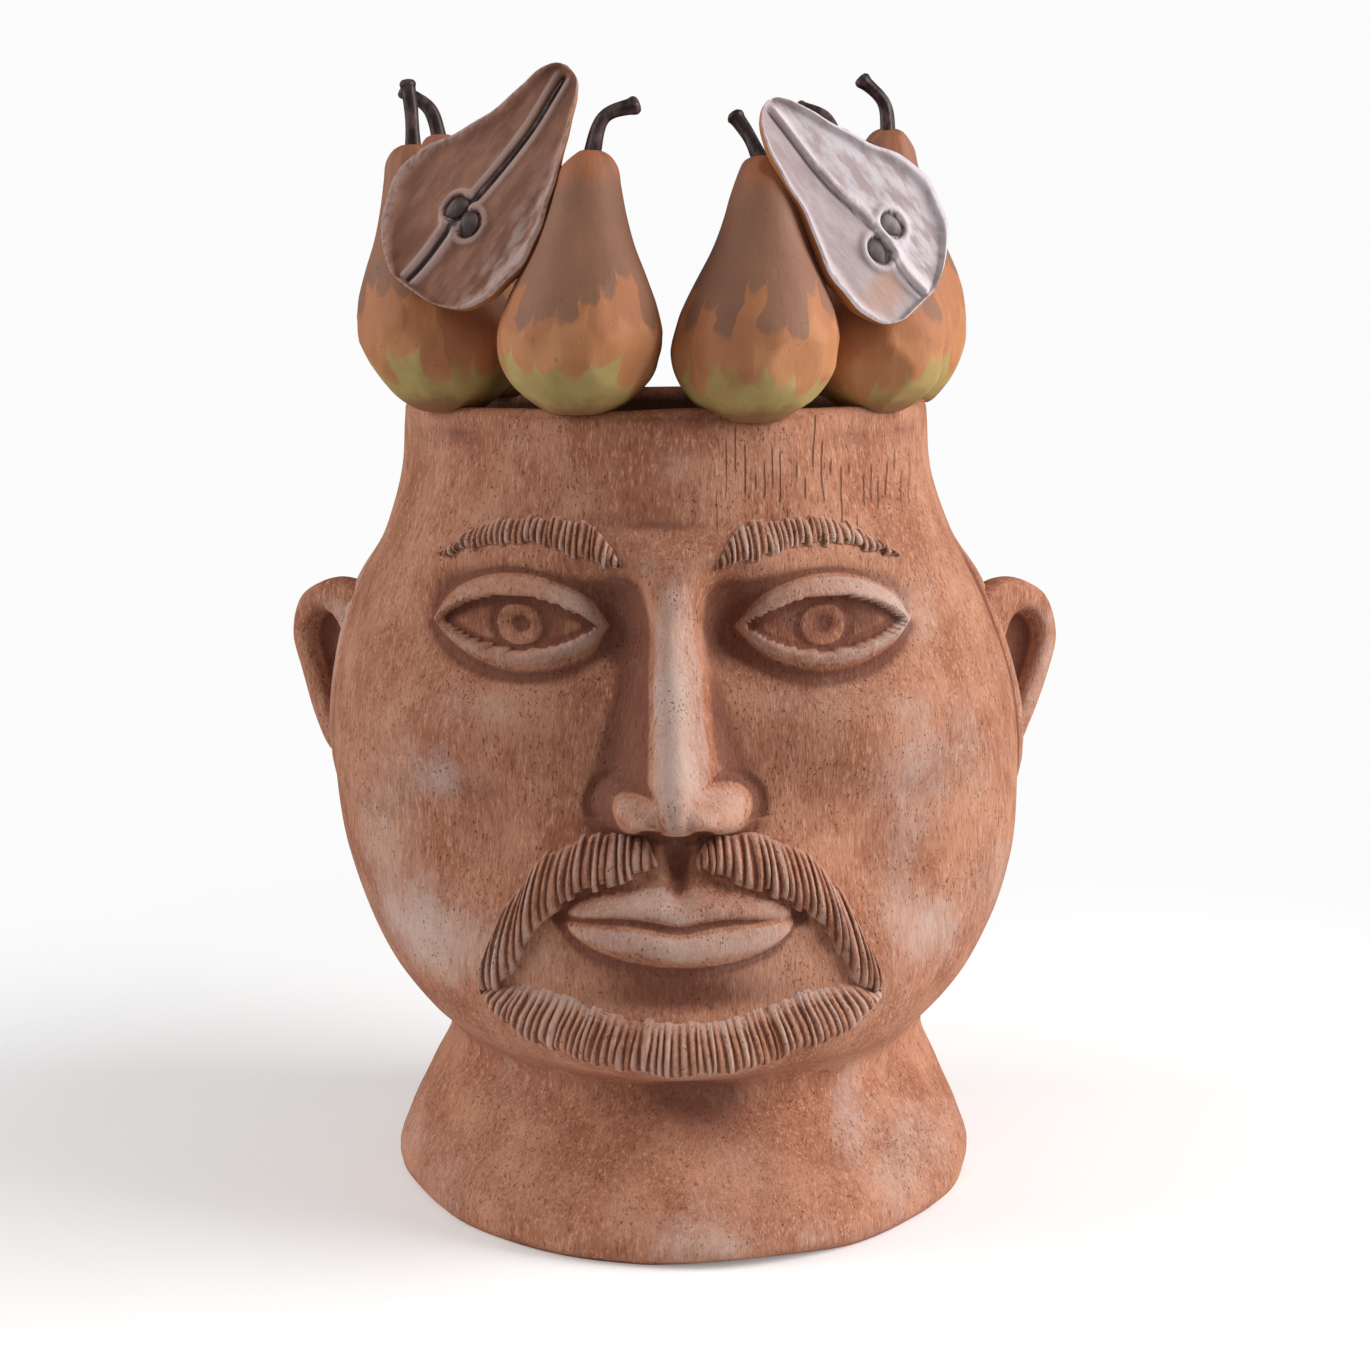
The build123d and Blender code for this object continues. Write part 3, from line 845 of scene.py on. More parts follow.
# %% Half pears
half_pears = {
    "left": {
        "blossom": (-96.0, -98.0, 43.0),
        "narrow": (-35.0, -93.0, 126.0),
        "looks": (-0.22, -0.95, 0.2),
        "widths": [
            (2.2, 1.0, 1.0),
            (2.8, 8.0, 10.0),
            (7.0, 15.5, 20.5),
            (17.0, 24.5, 27.5),
            (31.0, 30.0, 30.5),
            (46.0, 28.0, 29.0),
            (59.0, 20.5, 25.0),
            (72.0, 14.0, 19.5),
            (86.0, 10.5, 14.0),
            (96.0, 8.0, 9.5),
            (101.5, 3.5, 4.5),
            (102.5, 0.6, 0.6),
        ],
        "core": [(3.0, -3.4), (8.0, -2.4), (36.0, -1.0), (55.0, 0.9), (73.0, 1.9), (99.0, 0.0)],
        "seeds": [(-3.6, 36.5, 18.0), (3.8, 34.5, -22.0)],
        "raised": 0.0,
    },
    "right": {
        "blossom": (98.5, -92.0, 38.0),
        "narrow": (36.5, -108.0, 113.0),
        "looks": (0.3, -0.93, 0.2),
        "widths": [
            (2.6, 1.0, 1.0),
            (3.0, 11.0, 7.0),
            (7.0, 18.0, 16.0),
            (15.0, 22.0, 25.5),
            (26.0, 23.5, 31.0),
            (36.0, 22.5, 32.0),
            (49.0, 18.5, 29.0),
            (61.0, 15.2, 21.9),
            (74.0, 13.3, 15.5),
            (84.0, 11.2, 11.5),
            (93.0, 6.8, 6.5),
            (96.0, 3.0, 3.2),
            (96.8, 0.6, 0.6),
        ],
        "core": [(4.0, 3.4), (15.0, 2.3), (30.0, 4.0), (39.5, 3.8), (60.0, 1.0), (92.0, 0.8)],
        "seeds": [(-1.2, 28.0, 10.0), (9.6, 31.5, -16.0)],
        "raised": 1.0,
    },
}
half_rows = 130
face_columns = 72
rind_columns = 40


def half_frame(side):
    """Place and three directions of a half pear: across the face, into the pear, up its length."""
    given = half_pears[side]
    middle = np.array([lean_at(rim_height), 0.0, rim_height])
    foot = middle + given["blossom"]
    up = unit(middle + given["narrow"] - foot)
    look = np.array(given["looks"])
    look = unit(look - up * (look @ up))
    across = np.cross(-look, up)
    return foot, across, -look, up


def core_x(side, z):
    """Sideways place of the core line at a distance from the blossom end."""
    heights, places = zip(*half_pears[side]["core"])
    return smooth_curve(heights, places, z)


def cut_face(side, x, z, edge):
    """Relief of the cut face, its painted shade in the grooves, beside the raised thread and round the
    seeds, and how pale its lips are. Edge runs 0 to 1.
    """
    given = half_pears[side]
    raised = given["raised"]
    relief = -(2.6 - raised) * ease(0.0, 0.22, 1.0 - edge) + 0.9 * np.exp(-(((edge - 0.93) / 0.05) ** 2))
    off = x - core_x(side, z)
    length = given["widths"][-1][0]
    along_core = ease(2.4, 5.0, z) * ease(length - 1.0, length - 5.0, z)
    channel = np.exp(-((off / 1.25) ** 2))
    lips = np.exp(-(((np.abs(off) - 2.7) / 1.1) ** 2))
    ridge = np.exp(-((off / 1.3) ** 2))
    shade_side = np.exp(-(((off + 2.2) / 0.8) ** 2))
    relief += along_core * (1 - raised) * (-2.2 * channel + 0.9 * lips)
    relief += along_core * raised * (1.7 * ridge - 0.7 * shade_side)
    seed_z = given["seeds"][0][1]
    below = ease(seed_z, seed_z - 6.0, z) * along_core
    relief += below * 1.3 * np.exp(-((off / 4.2) ** 4))
    # Painted shade: the core channel, the shadow side of the raised thread and a ring round each seed.
    painted_shade = along_core * ((1 - raised) * channel + raised * 0.6 * shade_side)
    pale = along_core * ((1 - raised) * lips + raised * ridge)
    pale = np.maximum(pale, below * np.exp(-((off / 4.4) ** 4)))
    for seed_x, seed_height, _ in given["seeds"]:
        gap = np.hypot(x - seed_x, (z - seed_height) / 1.35)
        relief += 1.5 * np.exp(-(((gap - 5.2) / 1.2) ** 2)) - 1.3 * ease(4.6, 3.2, gap)
        painted_shade = np.maximum(painted_shade, 0.7 * np.exp(-(((gap - 3.9) / 0.7) ** 2)))
        pale = np.maximum(pale, np.exp(-(((gap - 5.4) / 0.9) ** 2)))
    swirl = 0.45 * np.sin(x / 8.5 + z / 21.0) * np.sin(z / 13.0 + x / 23.0)
    swirl += 0.1 * np.sin(x / 4.1 - z / 9.0)
    return relief + swirl * (1 - edge**4), painted_shade, pale


def build_half(side):
    """One half pear: cut face and rind in one closed mesh with two materials."""
    foot, across, inward, up = half_frame(side)
    given = half_pears[side]
    heights, lefts, rights = (np.array(column) for column in zip(*given["widths"]))
    steps = np.hypot(np.diff(heights), np.diff(lefts))
    knots = np.concatenate([[0.0], np.cumsum(steps)])
    at = np.linspace(0.0, knots[-1], half_rows)
    z = smooth_curve(knots, heights, at)[:, None]
    left = smooth_curve(knots, lefts, at)[:, None]
    right = smooth_curve(knots, rights, at)[:, None]
    wobble = 1 + 0.012 * np.sin(z / 5.0) + 0.01 * np.sin(z / 2.6 + 1.0)
    share = np.sin(np.linspace(-1, 1, face_columns) * math.pi / 2)[None, :]
    x_face = np.where(share < 0, share * left, share * right) * wobble
    edge_along = np.minimum(1.0, np.minimum(z - z[0], z[-1] - z) / 7.0)
    edge = np.maximum(np.abs(share), 1.0 - edge_along)
    relief, painted_shade, pale = cut_face(side, x_face, z, edge)
    angle = np.linspace(0, math.pi, rind_columns + 2)[1:-1][None, :]
    spread = np.cos(angle)
    x_rind = np.where(spread > 0, spread * right, spread * left) * wobble * (1 + 0.05 * np.sin(angle))
    depth = 0.95 * np.sin(angle) * (left + right) / 2 * (1 + 0.02 * np.sin(3 * angle + z / 11.0))
    local_x = np.concatenate([x_face, x_rind], 1)
    local_y = np.concatenate([-relief * np.minimum(1, left / 4), depth], 1)
    local_z = np.repeat(z, face_columns + rind_columns, 1)
    body = foot + local_x[..., None] * across + local_y[..., None] * inward + local_z[..., None] * up
    points, faces = closed_tube(body)
    half = add_piece(f"half_pear_{side}", points, faces, [f"half_pear_{side}"])
    # The groove value carries the painted shade of the cut face.
    add_value(half, "groove", np.concatenate([painted_shade, 0 * x_rind], 1))
    add_value(half, "lip", np.concatenate([pale, 0 * x_rind], 1))
    add_value(half, "rim", np.concatenate([edge + 0 * painted_shade, 1 + 0 * x_rind], 1))
    add_vector(half, "paint", np.stack([local_x, local_z, local_y], -1).reshape(-1, 3))
    columns = face_columns + rind_columns
    on_face = np.arange(columns) < face_columns - 1
    slots = np.where(np.tile(on_face, half_rows - 1), 0, 1)
    two_ends = [1, 1]
    return half, np.concatenate([slots, two_ends])


half_pieces = {}
half_slots = {}
for side in half_pears:
    half_pieces[side], half_slots[side] = build_half(side)
print("half pears", [len(h.data.polygons) for h in half_pieces.values()])

# %% [markdown]
# The thread is a thin roll of clay laid along the core line, and the seeds are small drops
# pressed into their pockets beside it.

# %% Core threads and seeds


def build_thread(side):
    """Thin roll of clay along the core line of one cut face."""
    foot, across, inward, up = half_frame(side)
    given = half_pears[side]
    z = np.linspace(given["core"][0][0] + 2.5, given["core"][-1][0] - 1.5, 120)
    x = core_x(side, z) + 0.15 * np.sin(z / 3.0)
    depth = 3.9 - 2.6 * given["raised"]
    path = foot + x[:, None] * across + depth * inward + z[:, None] * up
    radii = (1.05 + 0.35 * given["raised"]) * np.sqrt(np.sin(np.linspace(0.03, math.pi - 0.03, 120))) + 0.1
    points, faces = closed_tube(tube_along(path, radii, 18, 0.04, 5))
    return add_piece(f"core_thread_{side}", points, faces, [f"core_thread_{side}"])


def build_seeds(side):
    """Two flattened drops in one piece."""
    foot, across, inward, up = half_frame(side)
    all_points, all_faces = [], []
    rows = 26
    t = np.linspace(0.0, math.pi, rows)
    for seed_x, seed_z, slant in half_pears[side]["seeds"]:
        tilt = math.radians(slant)
        long_way = up * math.cos(tilt) + across * math.sin(tilt)
        side_way = np.cross(long_way, inward)
        middle = foot + seed_x * across + 2.3 * inward + seed_z * up
        around = np.linspace(0.0, 2 * math.pi, 28, endpoint=False)
        width = 3.3 * np.sin(t) * (1.0 - 0.22 * np.cos(t)) + 0.03
        body = middle + (-5.2 * np.cos(t))[:, None, None] * long_way
        body = body + (width[:, None] * np.cos(around))[..., None] * side_way
        body = body + (0.62 * width[:, None] * np.sin(around))[..., None] * inward
        points, faces = closed_tube(body)
        start = sum(len(p) for p in all_points)
        all_points.append(points)
        all_faces += [[v + start for v in face] for face in faces]
    return add_piece(f"seeds_{side}", np.concatenate(all_points), all_faces, [f"seeds_{side}"])


threads = {side: build_thread(side) for side in half_pears}
seeds = {side: build_seeds(side) for side in half_pears}
print("threads and seeds ready")

# %% [markdown]
# ## Finishes
# Fired clay gets its look from layers: the body colour, a dark wash left in the hollows, and a
# pale wash left on the crests. Effects that several finishes share are built once as node
# groups. A group here gives out only colours, masks and heights, and each material feeds them
# to its own shader.

# %% Node helpers


def node(tree, kind, inputs=None, **settings):
    """New shader node with some settings, whose inputs are values or other nodes' outputs."""
    made = tree.nodes.new(kind)
    for name, value in settings.items():
        setattr(made, name, value)
    for name, value in (inputs or {}).items():
        if isinstance(value, bpy.types.NodeSocket):
            tree.links.new(value, made.inputs[name])
        else:
            made.inputs[name].default_value = value
    return made


def maths(tree, operation, *values):
    """Result of one maths operation."""
    return node(tree, "ShaderNodeMath", dict(enumerate(values)), operation=operation).outputs[0]


def add(tree, first, second):
    """Sum of two values."""
    return maths(tree, "ADD", first, second)


def minus(tree, first, second):
    """First value less the second."""
    return maths(tree, "SUBTRACT", first, second)


def times(tree, first, second):
    """Product of two values."""
    return maths(tree, "MULTIPLY", first, second)


def chance(tree, number):
    """Random value from 0 to 1 that belongs to a number."""
    return node(tree, "ShaderNodeTexWhiteNoise", {"W": number}, noise_dimensions="1D").outputs["Value"]


def joined(tree, x, y, z=0.0):
    """Vector made of three values."""
    return node(tree, "ShaderNodeCombineXYZ", {"X": x, "Y": y, "Z": z}).outputs[0]


def parts_of(tree, vector):
    """Three values of a vector, called X, Y and Z."""
    return node(tree, "ShaderNodeSeparateXYZ", {"Vector": vector}).outputs


def blend(tree, mask, under, over):
    """Colour laid over another through a mask."""
    mix = node(tree, "ShaderNodeMix", data_type="RGBA")
    for slot_name, value in (("Factor_Float", mask), ("A_Color", under), ("B_Color", over)):
        socket = next(s for s in mix.inputs if s.identifier == slot_name)
        if isinstance(value, bpy.types.NodeSocket):
            tree.links.new(value, socket)
        else:
            socket.default_value = value
    return next(s for s in mix.outputs if s.identifier == "Result_Color")


def soft_step(tree, value, start, end):
    """Value turned into a mask that goes from 0 at the start to 1 at the end."""
    inputs = {"Value": value, "From Min": start, "From Max": end}
    return node(tree, "ShaderNodeMapRange", inputs, interpolation_type="SMOOTHSTEP").outputs["Result"]


def paint(red, green, blue):
    """Colour as seen on a screen, turned into the linear values that a shader wants."""
    linear = [((c / 255 + 0.055) / 1.055) ** 2.4 if c > 10 else c / 3294.6 for c in (red, green, blue)]
    return (*linear, 1.0)


def noise(tree, vector, scale, detail=4.0, roughness=0.55):
    """Value of a noise pattern, around 0.5."""
    inputs = {"Vector": vector, "Scale": scale, "Detail": detail, "Roughness": roughness}
    return node(tree, "ShaderNodeTexNoise", inputs).outputs[0]


def stretched(tree, vector, x, y, z):
    """Vector with its parts multiplied, which stretches the pattern that reads it."""
    inputs = {0: vector, 1: (x, y, z)}
    return node(tree, "ShaderNodeVectorMath", inputs, operation="MULTIPLY").outputs[0]


def new_group(name, inputs, outputs):
    """Empty node group. Returns it, the sockets that it reads and the sockets that it gives out."""
    group = bpy.data.node_groups.new(name, "ShaderNodeTree")
    for in_out, sockets in (("INPUT", inputs), ("OUTPUT", outputs)):
        for label, kind in sockets.items():
            group.interface.new_socket(label, in_out=in_out, socket_type=f"NodeSocket{kind}")
    given = group.nodes.new("NodeGroupInput").outputs
    results = group.nodes.new("NodeGroupOutput").inputs
    return group, given, results


def use_group(tree, group, **inputs):
    """Group placed in a material, with its inputs set."""
    placed = tree.nodes.new("ShaderNodeGroup")
    placed.node_tree = group
    for name, value in inputs.items():
        if isinstance(value, bpy.types.NodeSocket):
            tree.links.new(value, placed.inputs[name])
        else:
            placed.inputs[name].default_value = value
    return placed.outputs


print("node helpers ready")

# %% [markdown]
# **Clay grain.** Coarse clay that has been scraped with a rib shows fine upright lines, and it
# is dotted with small dark pits where grit came out. The lines are a noise pattern stretched
# along the height.

# %% Clay grain group
grain_outputs = {"Lines": "Float", "Pits": "Float", "Mottle": "Float", "Height": "Float"}
grain_group, given, results = new_group("clay_grain", {"Vector": "Vector"}, grain_outputs)
tree = grain_group
along = stretched(tree, given["Vector"], 1.0, 1.0, 0.22)
lines_fine = noise(tree, along, 1250.0, 3.0, 0.7)
lines_wide = noise(tree, along, 480.0, 4.0, 0.7)
lines = add(tree, times(tree, lines_fine, 0.55), times(tree, lines_wide, 0.45))
speck = noise(tree, stretched(tree, given["Vector"], 1.0, 1.0, 0.6), 1050.0, 1.0, 0.4)
where = noise(tree, given["Vector"], 60.0, 2.0)
pits = times(tree, soft_step(tree, speck, 0.66, 0.74), soft_step(tree, where, 0.42, 0.56))
mottle = noise(tree, given["Vector"], 34.0, 6.0, 0.62)
height = minus(tree, lines, times(tree, pits, 0.8))
tree.links.new(lines, results["Lines"])
tree.links.new(pits, results["Pits"])
tree.links.new(mottle, results["Mottle"])
tree.links.new(height, results["Height"])
print("group", grain_group.name)

# %% [markdown]
# **Scrapes.** A stiff tool leaves single upright scratches here and there. The width is cut
# into narrow strips, and random numbers say where the scratch of each strip starts and ends.

# %% Scrapes group
scrape_inputs = {"Vector": "Vector", "Amount": "Float"}
scrape_group, given, results = new_group("scrapes", scrape_inputs, {"Mask": "Float"})
tree = scrape_group
split = parts_of(tree, given["Vector"])
drift = times(tree, noise(tree, given["Vector"], 30.0, 2.0), 1.6)
strip = add(tree, maths(tree, "DIVIDE", split["X"], 3.3 * MM), drift)
number = maths(tree, "FLOOR", strip)
beside = maths(tree, "ABSOLUTE", minus(tree, maths(tree, "FRACT", strip), 0.5))
thin = soft_step(tree, beside, 0.13, 0.05)
start = chance(tree, number)
extra = chance(tree, add(tree, number, 0.5))
bottom = add(tree, times(tree, start, 24 * MM), (rim_height - 46) * MM)
length = add(tree, times(tree, extra, 20 * MM), 5 * MM)
top = add(tree, bottom, length)
above = soft_step(tree, minus(tree, split["Z"], bottom), 0.0, 3 * MM)
below = soft_step(tree, minus(tree, top, split["Z"]), 0.0, 3 * MM)
mask = times(tree, times(tree, thin, above), below)
tree.links.new(times(tree, mask, given["Amount"]), results["Mask"])
print("group", scrape_group.name)

# %% [markdown]
# ** Slip, shade and highlight.** A thin pale slip is brushed over the fired pot and wiped off again.
# It stays on rough places, in broken patches, and crests get more of it as painted highlight.
# The hollows are painted dark as painted shade. The group takes how high or hollow the surface
# is and how much slip the place holds, and gives a colour.

# %% Slip, painted shade and painted highlight group
slip_shade_highlight_inputs = {"Body": "Color", "Dark": "Color", "Pale": "Color"}
slip_shade_highlight_inputs |= {"Relief": "Float", "Slip": "Float", "Vector": "Vector"}
slip_shade_highlight_group, given, results = new_group("slip_shade_and_highlight", slip_shade_highlight_inputs, {"Color": "Color"})
tree = slip_shade_highlight_group
along = stretched(tree, given["Vector"], 1.0, 1.0, 0.45)
broken = noise(tree, along, 330.0, 8.0, 0.8)
cloud = noise(tree, given["Vector"], 26.0, 3.0, 0.5)
# Painted shade: hollows turn to the shade colour. Painted highlight: crests get more pale slip.
hollow = soft_step(tree, given["Relief"], -0.02, -0.42)
crest = soft_step(tree, given["Relief"], 0.05, 0.5)
amount = add(tree, times(tree, crest, 0.35), given["Slip"])
amount = add(tree, amount, times(tree, minus(tree, cloud, 0.5), 1.1))
slip = soft_step(tree, add(tree, amount, times(tree, broken, 0.9)), 0.62, 1.35)
slip = times(tree, slip, 0.78)
painted_hollow_shade = blend(tree, times(tree, hollow, 0.75), given["Body"], given["Dark"])
slip_over_shade = blend(tree, slip, painted_hollow_shade, given["Pale"])
tree.links.new(slip_over_shade, results["Color"])
print("group", slip_shade_highlight_group.name)

# %% [markdown]
# **Brush ends.** The slip on the pears hangs down in brush strokes with round ends. Each stroke
# is a strip of equal width, and a random number for the strip decides how far down it reaches.
# A half circle at the end of the strip rounds it off.

# %% Brush ends group
brush_inputs = dict.fromkeys(["Across", "Up", "Edge", "Reach", "Width", "Seed", "Soft"], "Float")
brush_group, given, results = new_group("brush_ends", brush_inputs, {"Mask": "Float"})
tree = brush_group
strip = add(tree, maths(tree, "DIVIDE", given["Across"], given["Width"]), given["Seed"])
number = maths(tree, "FLOOR", strip)
inside = minus(tree, times(tree, maths(tree, "FRACT", strip), 2.0), 1.0)
luck = chance(tree, add(tree, number, given["Seed"]))
lowering = times(tree, minus(tree, luck, 0.5), given["Reach"])
tip = add(tree, given["Edge"], lowering)
circle = maths(tree, "SQRT", minus(tree, 1.0, times(tree, inside, inside)))
drop = times(tree, times(tree, circle, given["Width"]), 0.55)
distance = minus(tree, given["Up"], minus(tree, tip, drop))
minus_soft = times(tree, given["Soft"], -1.0)
tree.links.new(soft_step(tree, distance, minus_soft, given["Soft"]), results["Mask"])
print("group", brush_group.name)

# %% [markdown]
# **Matt shader.** Every finish ends in the same kind of shader: matt, with a fine bump. The
# small function below joins colour, roughness and bump to it. The shader itself stays in the
# material.

# %% Material maker


def new_material(name):
    """Material with an empty tree, and the object coordinates of its surface in metres."""
    material = bpy.data.materials.new(name)
    material.use_nodes = True
    material.node_tree.nodes.clear()
    place = node(material.node_tree, "ShaderNodeTexCoord").outputs["Object"]
    return material, material.node_tree, place


def attribute(tree, name, output="Fac"):
    """Value that the mesh carries for each of its points."""
    return node(tree, "ShaderNodeAttribute", attribute_name=name).outputs[output]


def finish_clay(tree, colour, roughness, height, bump_mm):
    """Principled shader with a bump, joined to the material's output."""
    shader = node(tree, "ShaderNodeBsdfPrincipled", {"Base Color": colour, "Roughness": roughness})
    shader.inputs["Specular IOR Level"].default_value = 0.32
    bump = node(tree, "ShaderNodeBump", {"Height": height, "Strength": 1.0, "Distance": bump_mm * MM})
    tree.links.new(bump.outputs["Normal"], shader.inputs["Normal"])
    node(tree, "ShaderNodeOutputMaterial", {"Surface": shader.outputs["BSDF"]})


# %% [markdown]
# **Terracotta.** The body clay is orange brown. It carries more pale slip on the cheeks, the jaw
# edge, the chin, the bridge of the nose and the foot, so the pot's mesh gets one more value that
# says how much slip each point holds.

# %% Terracotta
slip_places = [
    (-112.0, 168.0, 20.0, 30.0, 0.42),
    (-96.0, 122.0, 34.0, 22.0, 0.50),
    (108.0, 186.0, 22.0, 22.0, 0.40),
    (100.0, 130.0, 30.0, 18.0, 0.46),
    (58.0, 218.0, 30.0, 8.0, 0.20),
    (0.0, 212.0, 7.0, 48.0, 0.34),
    (0.0, 84.0, 36.0, 9.0, 0.40),
    (-104.0, 16.0, 22.0, 16.0, 0.42),
    (88.0, 30.0, 24.0, 16.0, 0.34),
    (0.0, 150.0, 26.0, 5.0, 0.14),
    (-60.0, 30.0, 16.0, 9.0, 0.26),
    (20.0, 8.0, 46.0, 8.0, 0.30),
    (64.0, 48.0, 9.0, 22.0, 0.34),
    (-88.0, 186.0, 9.0, 12.0, 0.30),
    (96.0, 240.0, 14.0, 40.0, 0.22),
]
pot_x = outer_points[..., 0] - lean_at(outer_points[..., 2])
pot_z = outer_points[..., 2]
slip_amount = np.zeros_like(pot_x)
for centre_x, centre_z, reach_x, reach_z, strength in slip_places:
    slip_amount += strength * swell(pot_x, pot_z, centre_x, centre_z, reach_x, reach_z)
even_slip = 0.10
behind = ease(0.2, -0.4, np.cos(angle_grid))
slip_amount += even_slip * behind * swell(0, pot_z, 0, 140.0, 1, 60.0) + even_slip
add_value(pot, "slip", np.concatenate([slip_amount, inside_relief]))
scrape_amount = ease(8.0, 30.0, pot_x) * ease(105.0, 85.0, pot_x) * (np.cos(angle_grid) > 0)
add_value(pot, "scrape", np.concatenate([scrape_amount, inside_relief]))
# The inner wall and the underside of the foot are marked, so the finish can paint them dark as painted
# shade.
rows_inside = np.zeros(len(pot_rows))
rows_inside[len(outer_points) + len(rim_rings) :] = 1.0
add_value(pot, "inside", np.repeat(rows_inside, len(pot_angles)))

terracotta, tree, place = new_material("terracotta")
grain = use_group(tree, grain_group, Vector=place)
body = blend(tree, soft_step(tree, grain["Mottle"], 0.32, 0.68), paint(158, 98, 70), paint(190, 134, 106))
body = blend(tree, soft_step(tree, grain["Lines"], 0.5, 0.64), body, paint(202, 150, 122))
dark_lines = soft_step(tree, grain["Lines"], 0.48, 0.34)
body = blend(tree, times(tree, dark_lines, 0.85), body, paint(118, 64, 46))
scrapes = use_group(tree, scrape_group, Vector=place, Amount=attribute(tree, "scrape"))
# Painted shade in the hollows and painted highlight on the crests, laid over the real pale slip patches.
slip_shade_and_highlight = use_group(
    tree,
    slip_shade_highlight_group,
    Body=body,
    Dark=paint(98, 48, 36),
    Pale=paint(204, 180, 170),
    Relief=attribute(tree, "relief"),
    Slip=attribute(tree, "slip"),
    Vector=place,
)
pitted = blend(tree, times(tree, grain["Pits"], 0.6), slip_shade_and_highlight["Color"], paint(84, 44, 34))
scraped = blend(tree, times(tree, scrapes["Mask"], 0.7), pitted, paint(92, 48, 36))
# Painted shade: the inside of the pot is painted dark.
shaded = blend(tree, times(tree, attribute(tree, "inside"), 0.8), scraped, paint(52, 28, 22))
height = minus(tree, grain["Height"], times(tree, scrapes["Mask"], 1.2))
rough = times(tree, soft_step(tree, grain["Mottle"], -0.6, 0.9), 0.2)
finish_clay(tree, shaded, add(tree, rough, 0.68), height, 0.6)
for piece in [pot, *ears, *hair]:
    piece.data.materials.append(terracotta)
print("terracotta on", 1 + len(ears) + len(hair), "pieces")

# %% [markdown]
# **Pear slip.** Three colours lie over each other from the bottom up: olive, then orange ochre,
# then a mauve brown. Each upper colour ends below in brush strokes. Long soft streaks run along
# the pear, and where the foot is luted to the rim there is a smear of red clay.

# %% Pear slip


def pear_layers(tree, place, across, up, seed):
    """Colour of the painted skin of a pear from its distance round and up, in millimetres."""
    drift = noise(tree, place, 46.0, 3.0)
    across = add(tree, across, times(tree, drift, 16.0))
    sway = minus(tree, noise(tree, place, 60.0, 4.0), 0.5)
    up = add(tree, up, times(tree, sway, 16.0))
    streak = noise(tree, joined(tree, across, times(tree, up, 0.16), seed), 0.11, 3.0)
    olive = blend(tree, noise(tree, place, 70.0, 5.0), paint(156, 132, 74), paint(202, 178, 116))
    orange = blend(tree, streak, paint(180, 108, 68), paint(208, 146, 104))
    mauve = blend(tree, noise(tree, place, 48.0, 4.0), paint(108, 78, 66), paint(158, 114, 92))

    def strokes(shift, **sizes):
        """Mask of one coat, put on in brush strokes that differ from those of the other coats."""
        moved = add(tree, seed, shift)
        return use_group(tree, brush_group, Across=across, Up=up, Seed=moved, **sizes)["Mask"]

    low_strokes = strokes(0.0, Edge=20.0, Reach=18.0, Width=12.2, Soft=1.8)
    high_strokes = strokes(0.37, Edge=46.0, Reach=24.0, Width=9.8, Soft=1.6)
    under_strokes = strokes(5.11, Edge=34.0, Reach=30.0, Width=13.3, Soft=3.0)
    colour = blend(tree, times(tree, low_strokes, 0.9), olive, orange)
    colour = blend(tree, times(tree, under_strokes, 0.4), colour, paint(158, 92, 62))
    colour = blend(tree, times(tree, high_strokes, 0.78), colour, mauve)
    top_glow = times(tree, soft_step(tree, up, 80.0, 92.0), soft_step(tree, streak, 0.4, 0.6))
    colour = blend(tree, times(tree, top_glow, 0.75), colour, paint(178, 108, 72))
    smear = times(tree, soft_step(tree, up, 9.0, 2.0), 0.7)
    return blend(tree, smear, colour, paint(140, 82, 58)), streak


pear_paint, tree, place = new_material("pear_slip")
parts = parts_of(tree, attribute(tree, "paint", "Vector"))
colour, streak = pear_layers(tree, place, parts["X"], parts["Y"], parts["Z"])
speck = soft_step(tree, noise(tree, place, 520.0, 2.0, 0.5), 0.68, 0.76)
colour = blend(tree, times(tree, speck, 0.45), colour, paint(90, 62, 48))
dab = noise(tree, stretched(tree, place, 1.0, 1.0, 0.4), 230.0, 4.0)
skin_height = add(tree, times(tree, dab, 0.7), times(tree, streak, 0.5))
finish_clay(tree, colour, 0.66, skin_height, 0.45)
for piece in whole_pears.values():
    piece.data.materials.append(pear_paint)
print("pear slip on", len(whole_pears), "pears")

# %% [markdown]
# ** Cut faces.** The flesh of the left half is a mauve brown with lilac strokes near its right
# edge, and the right half is a pale grey lilac with a warm blush low down. Grooves, the shadow side
# of the raised thread and the seed pockets are painted dark as painted shade, and the raised rim
# catches more of the pale slip. The rind keeps the ochre of a ripe pear.

# %% Cut face materials


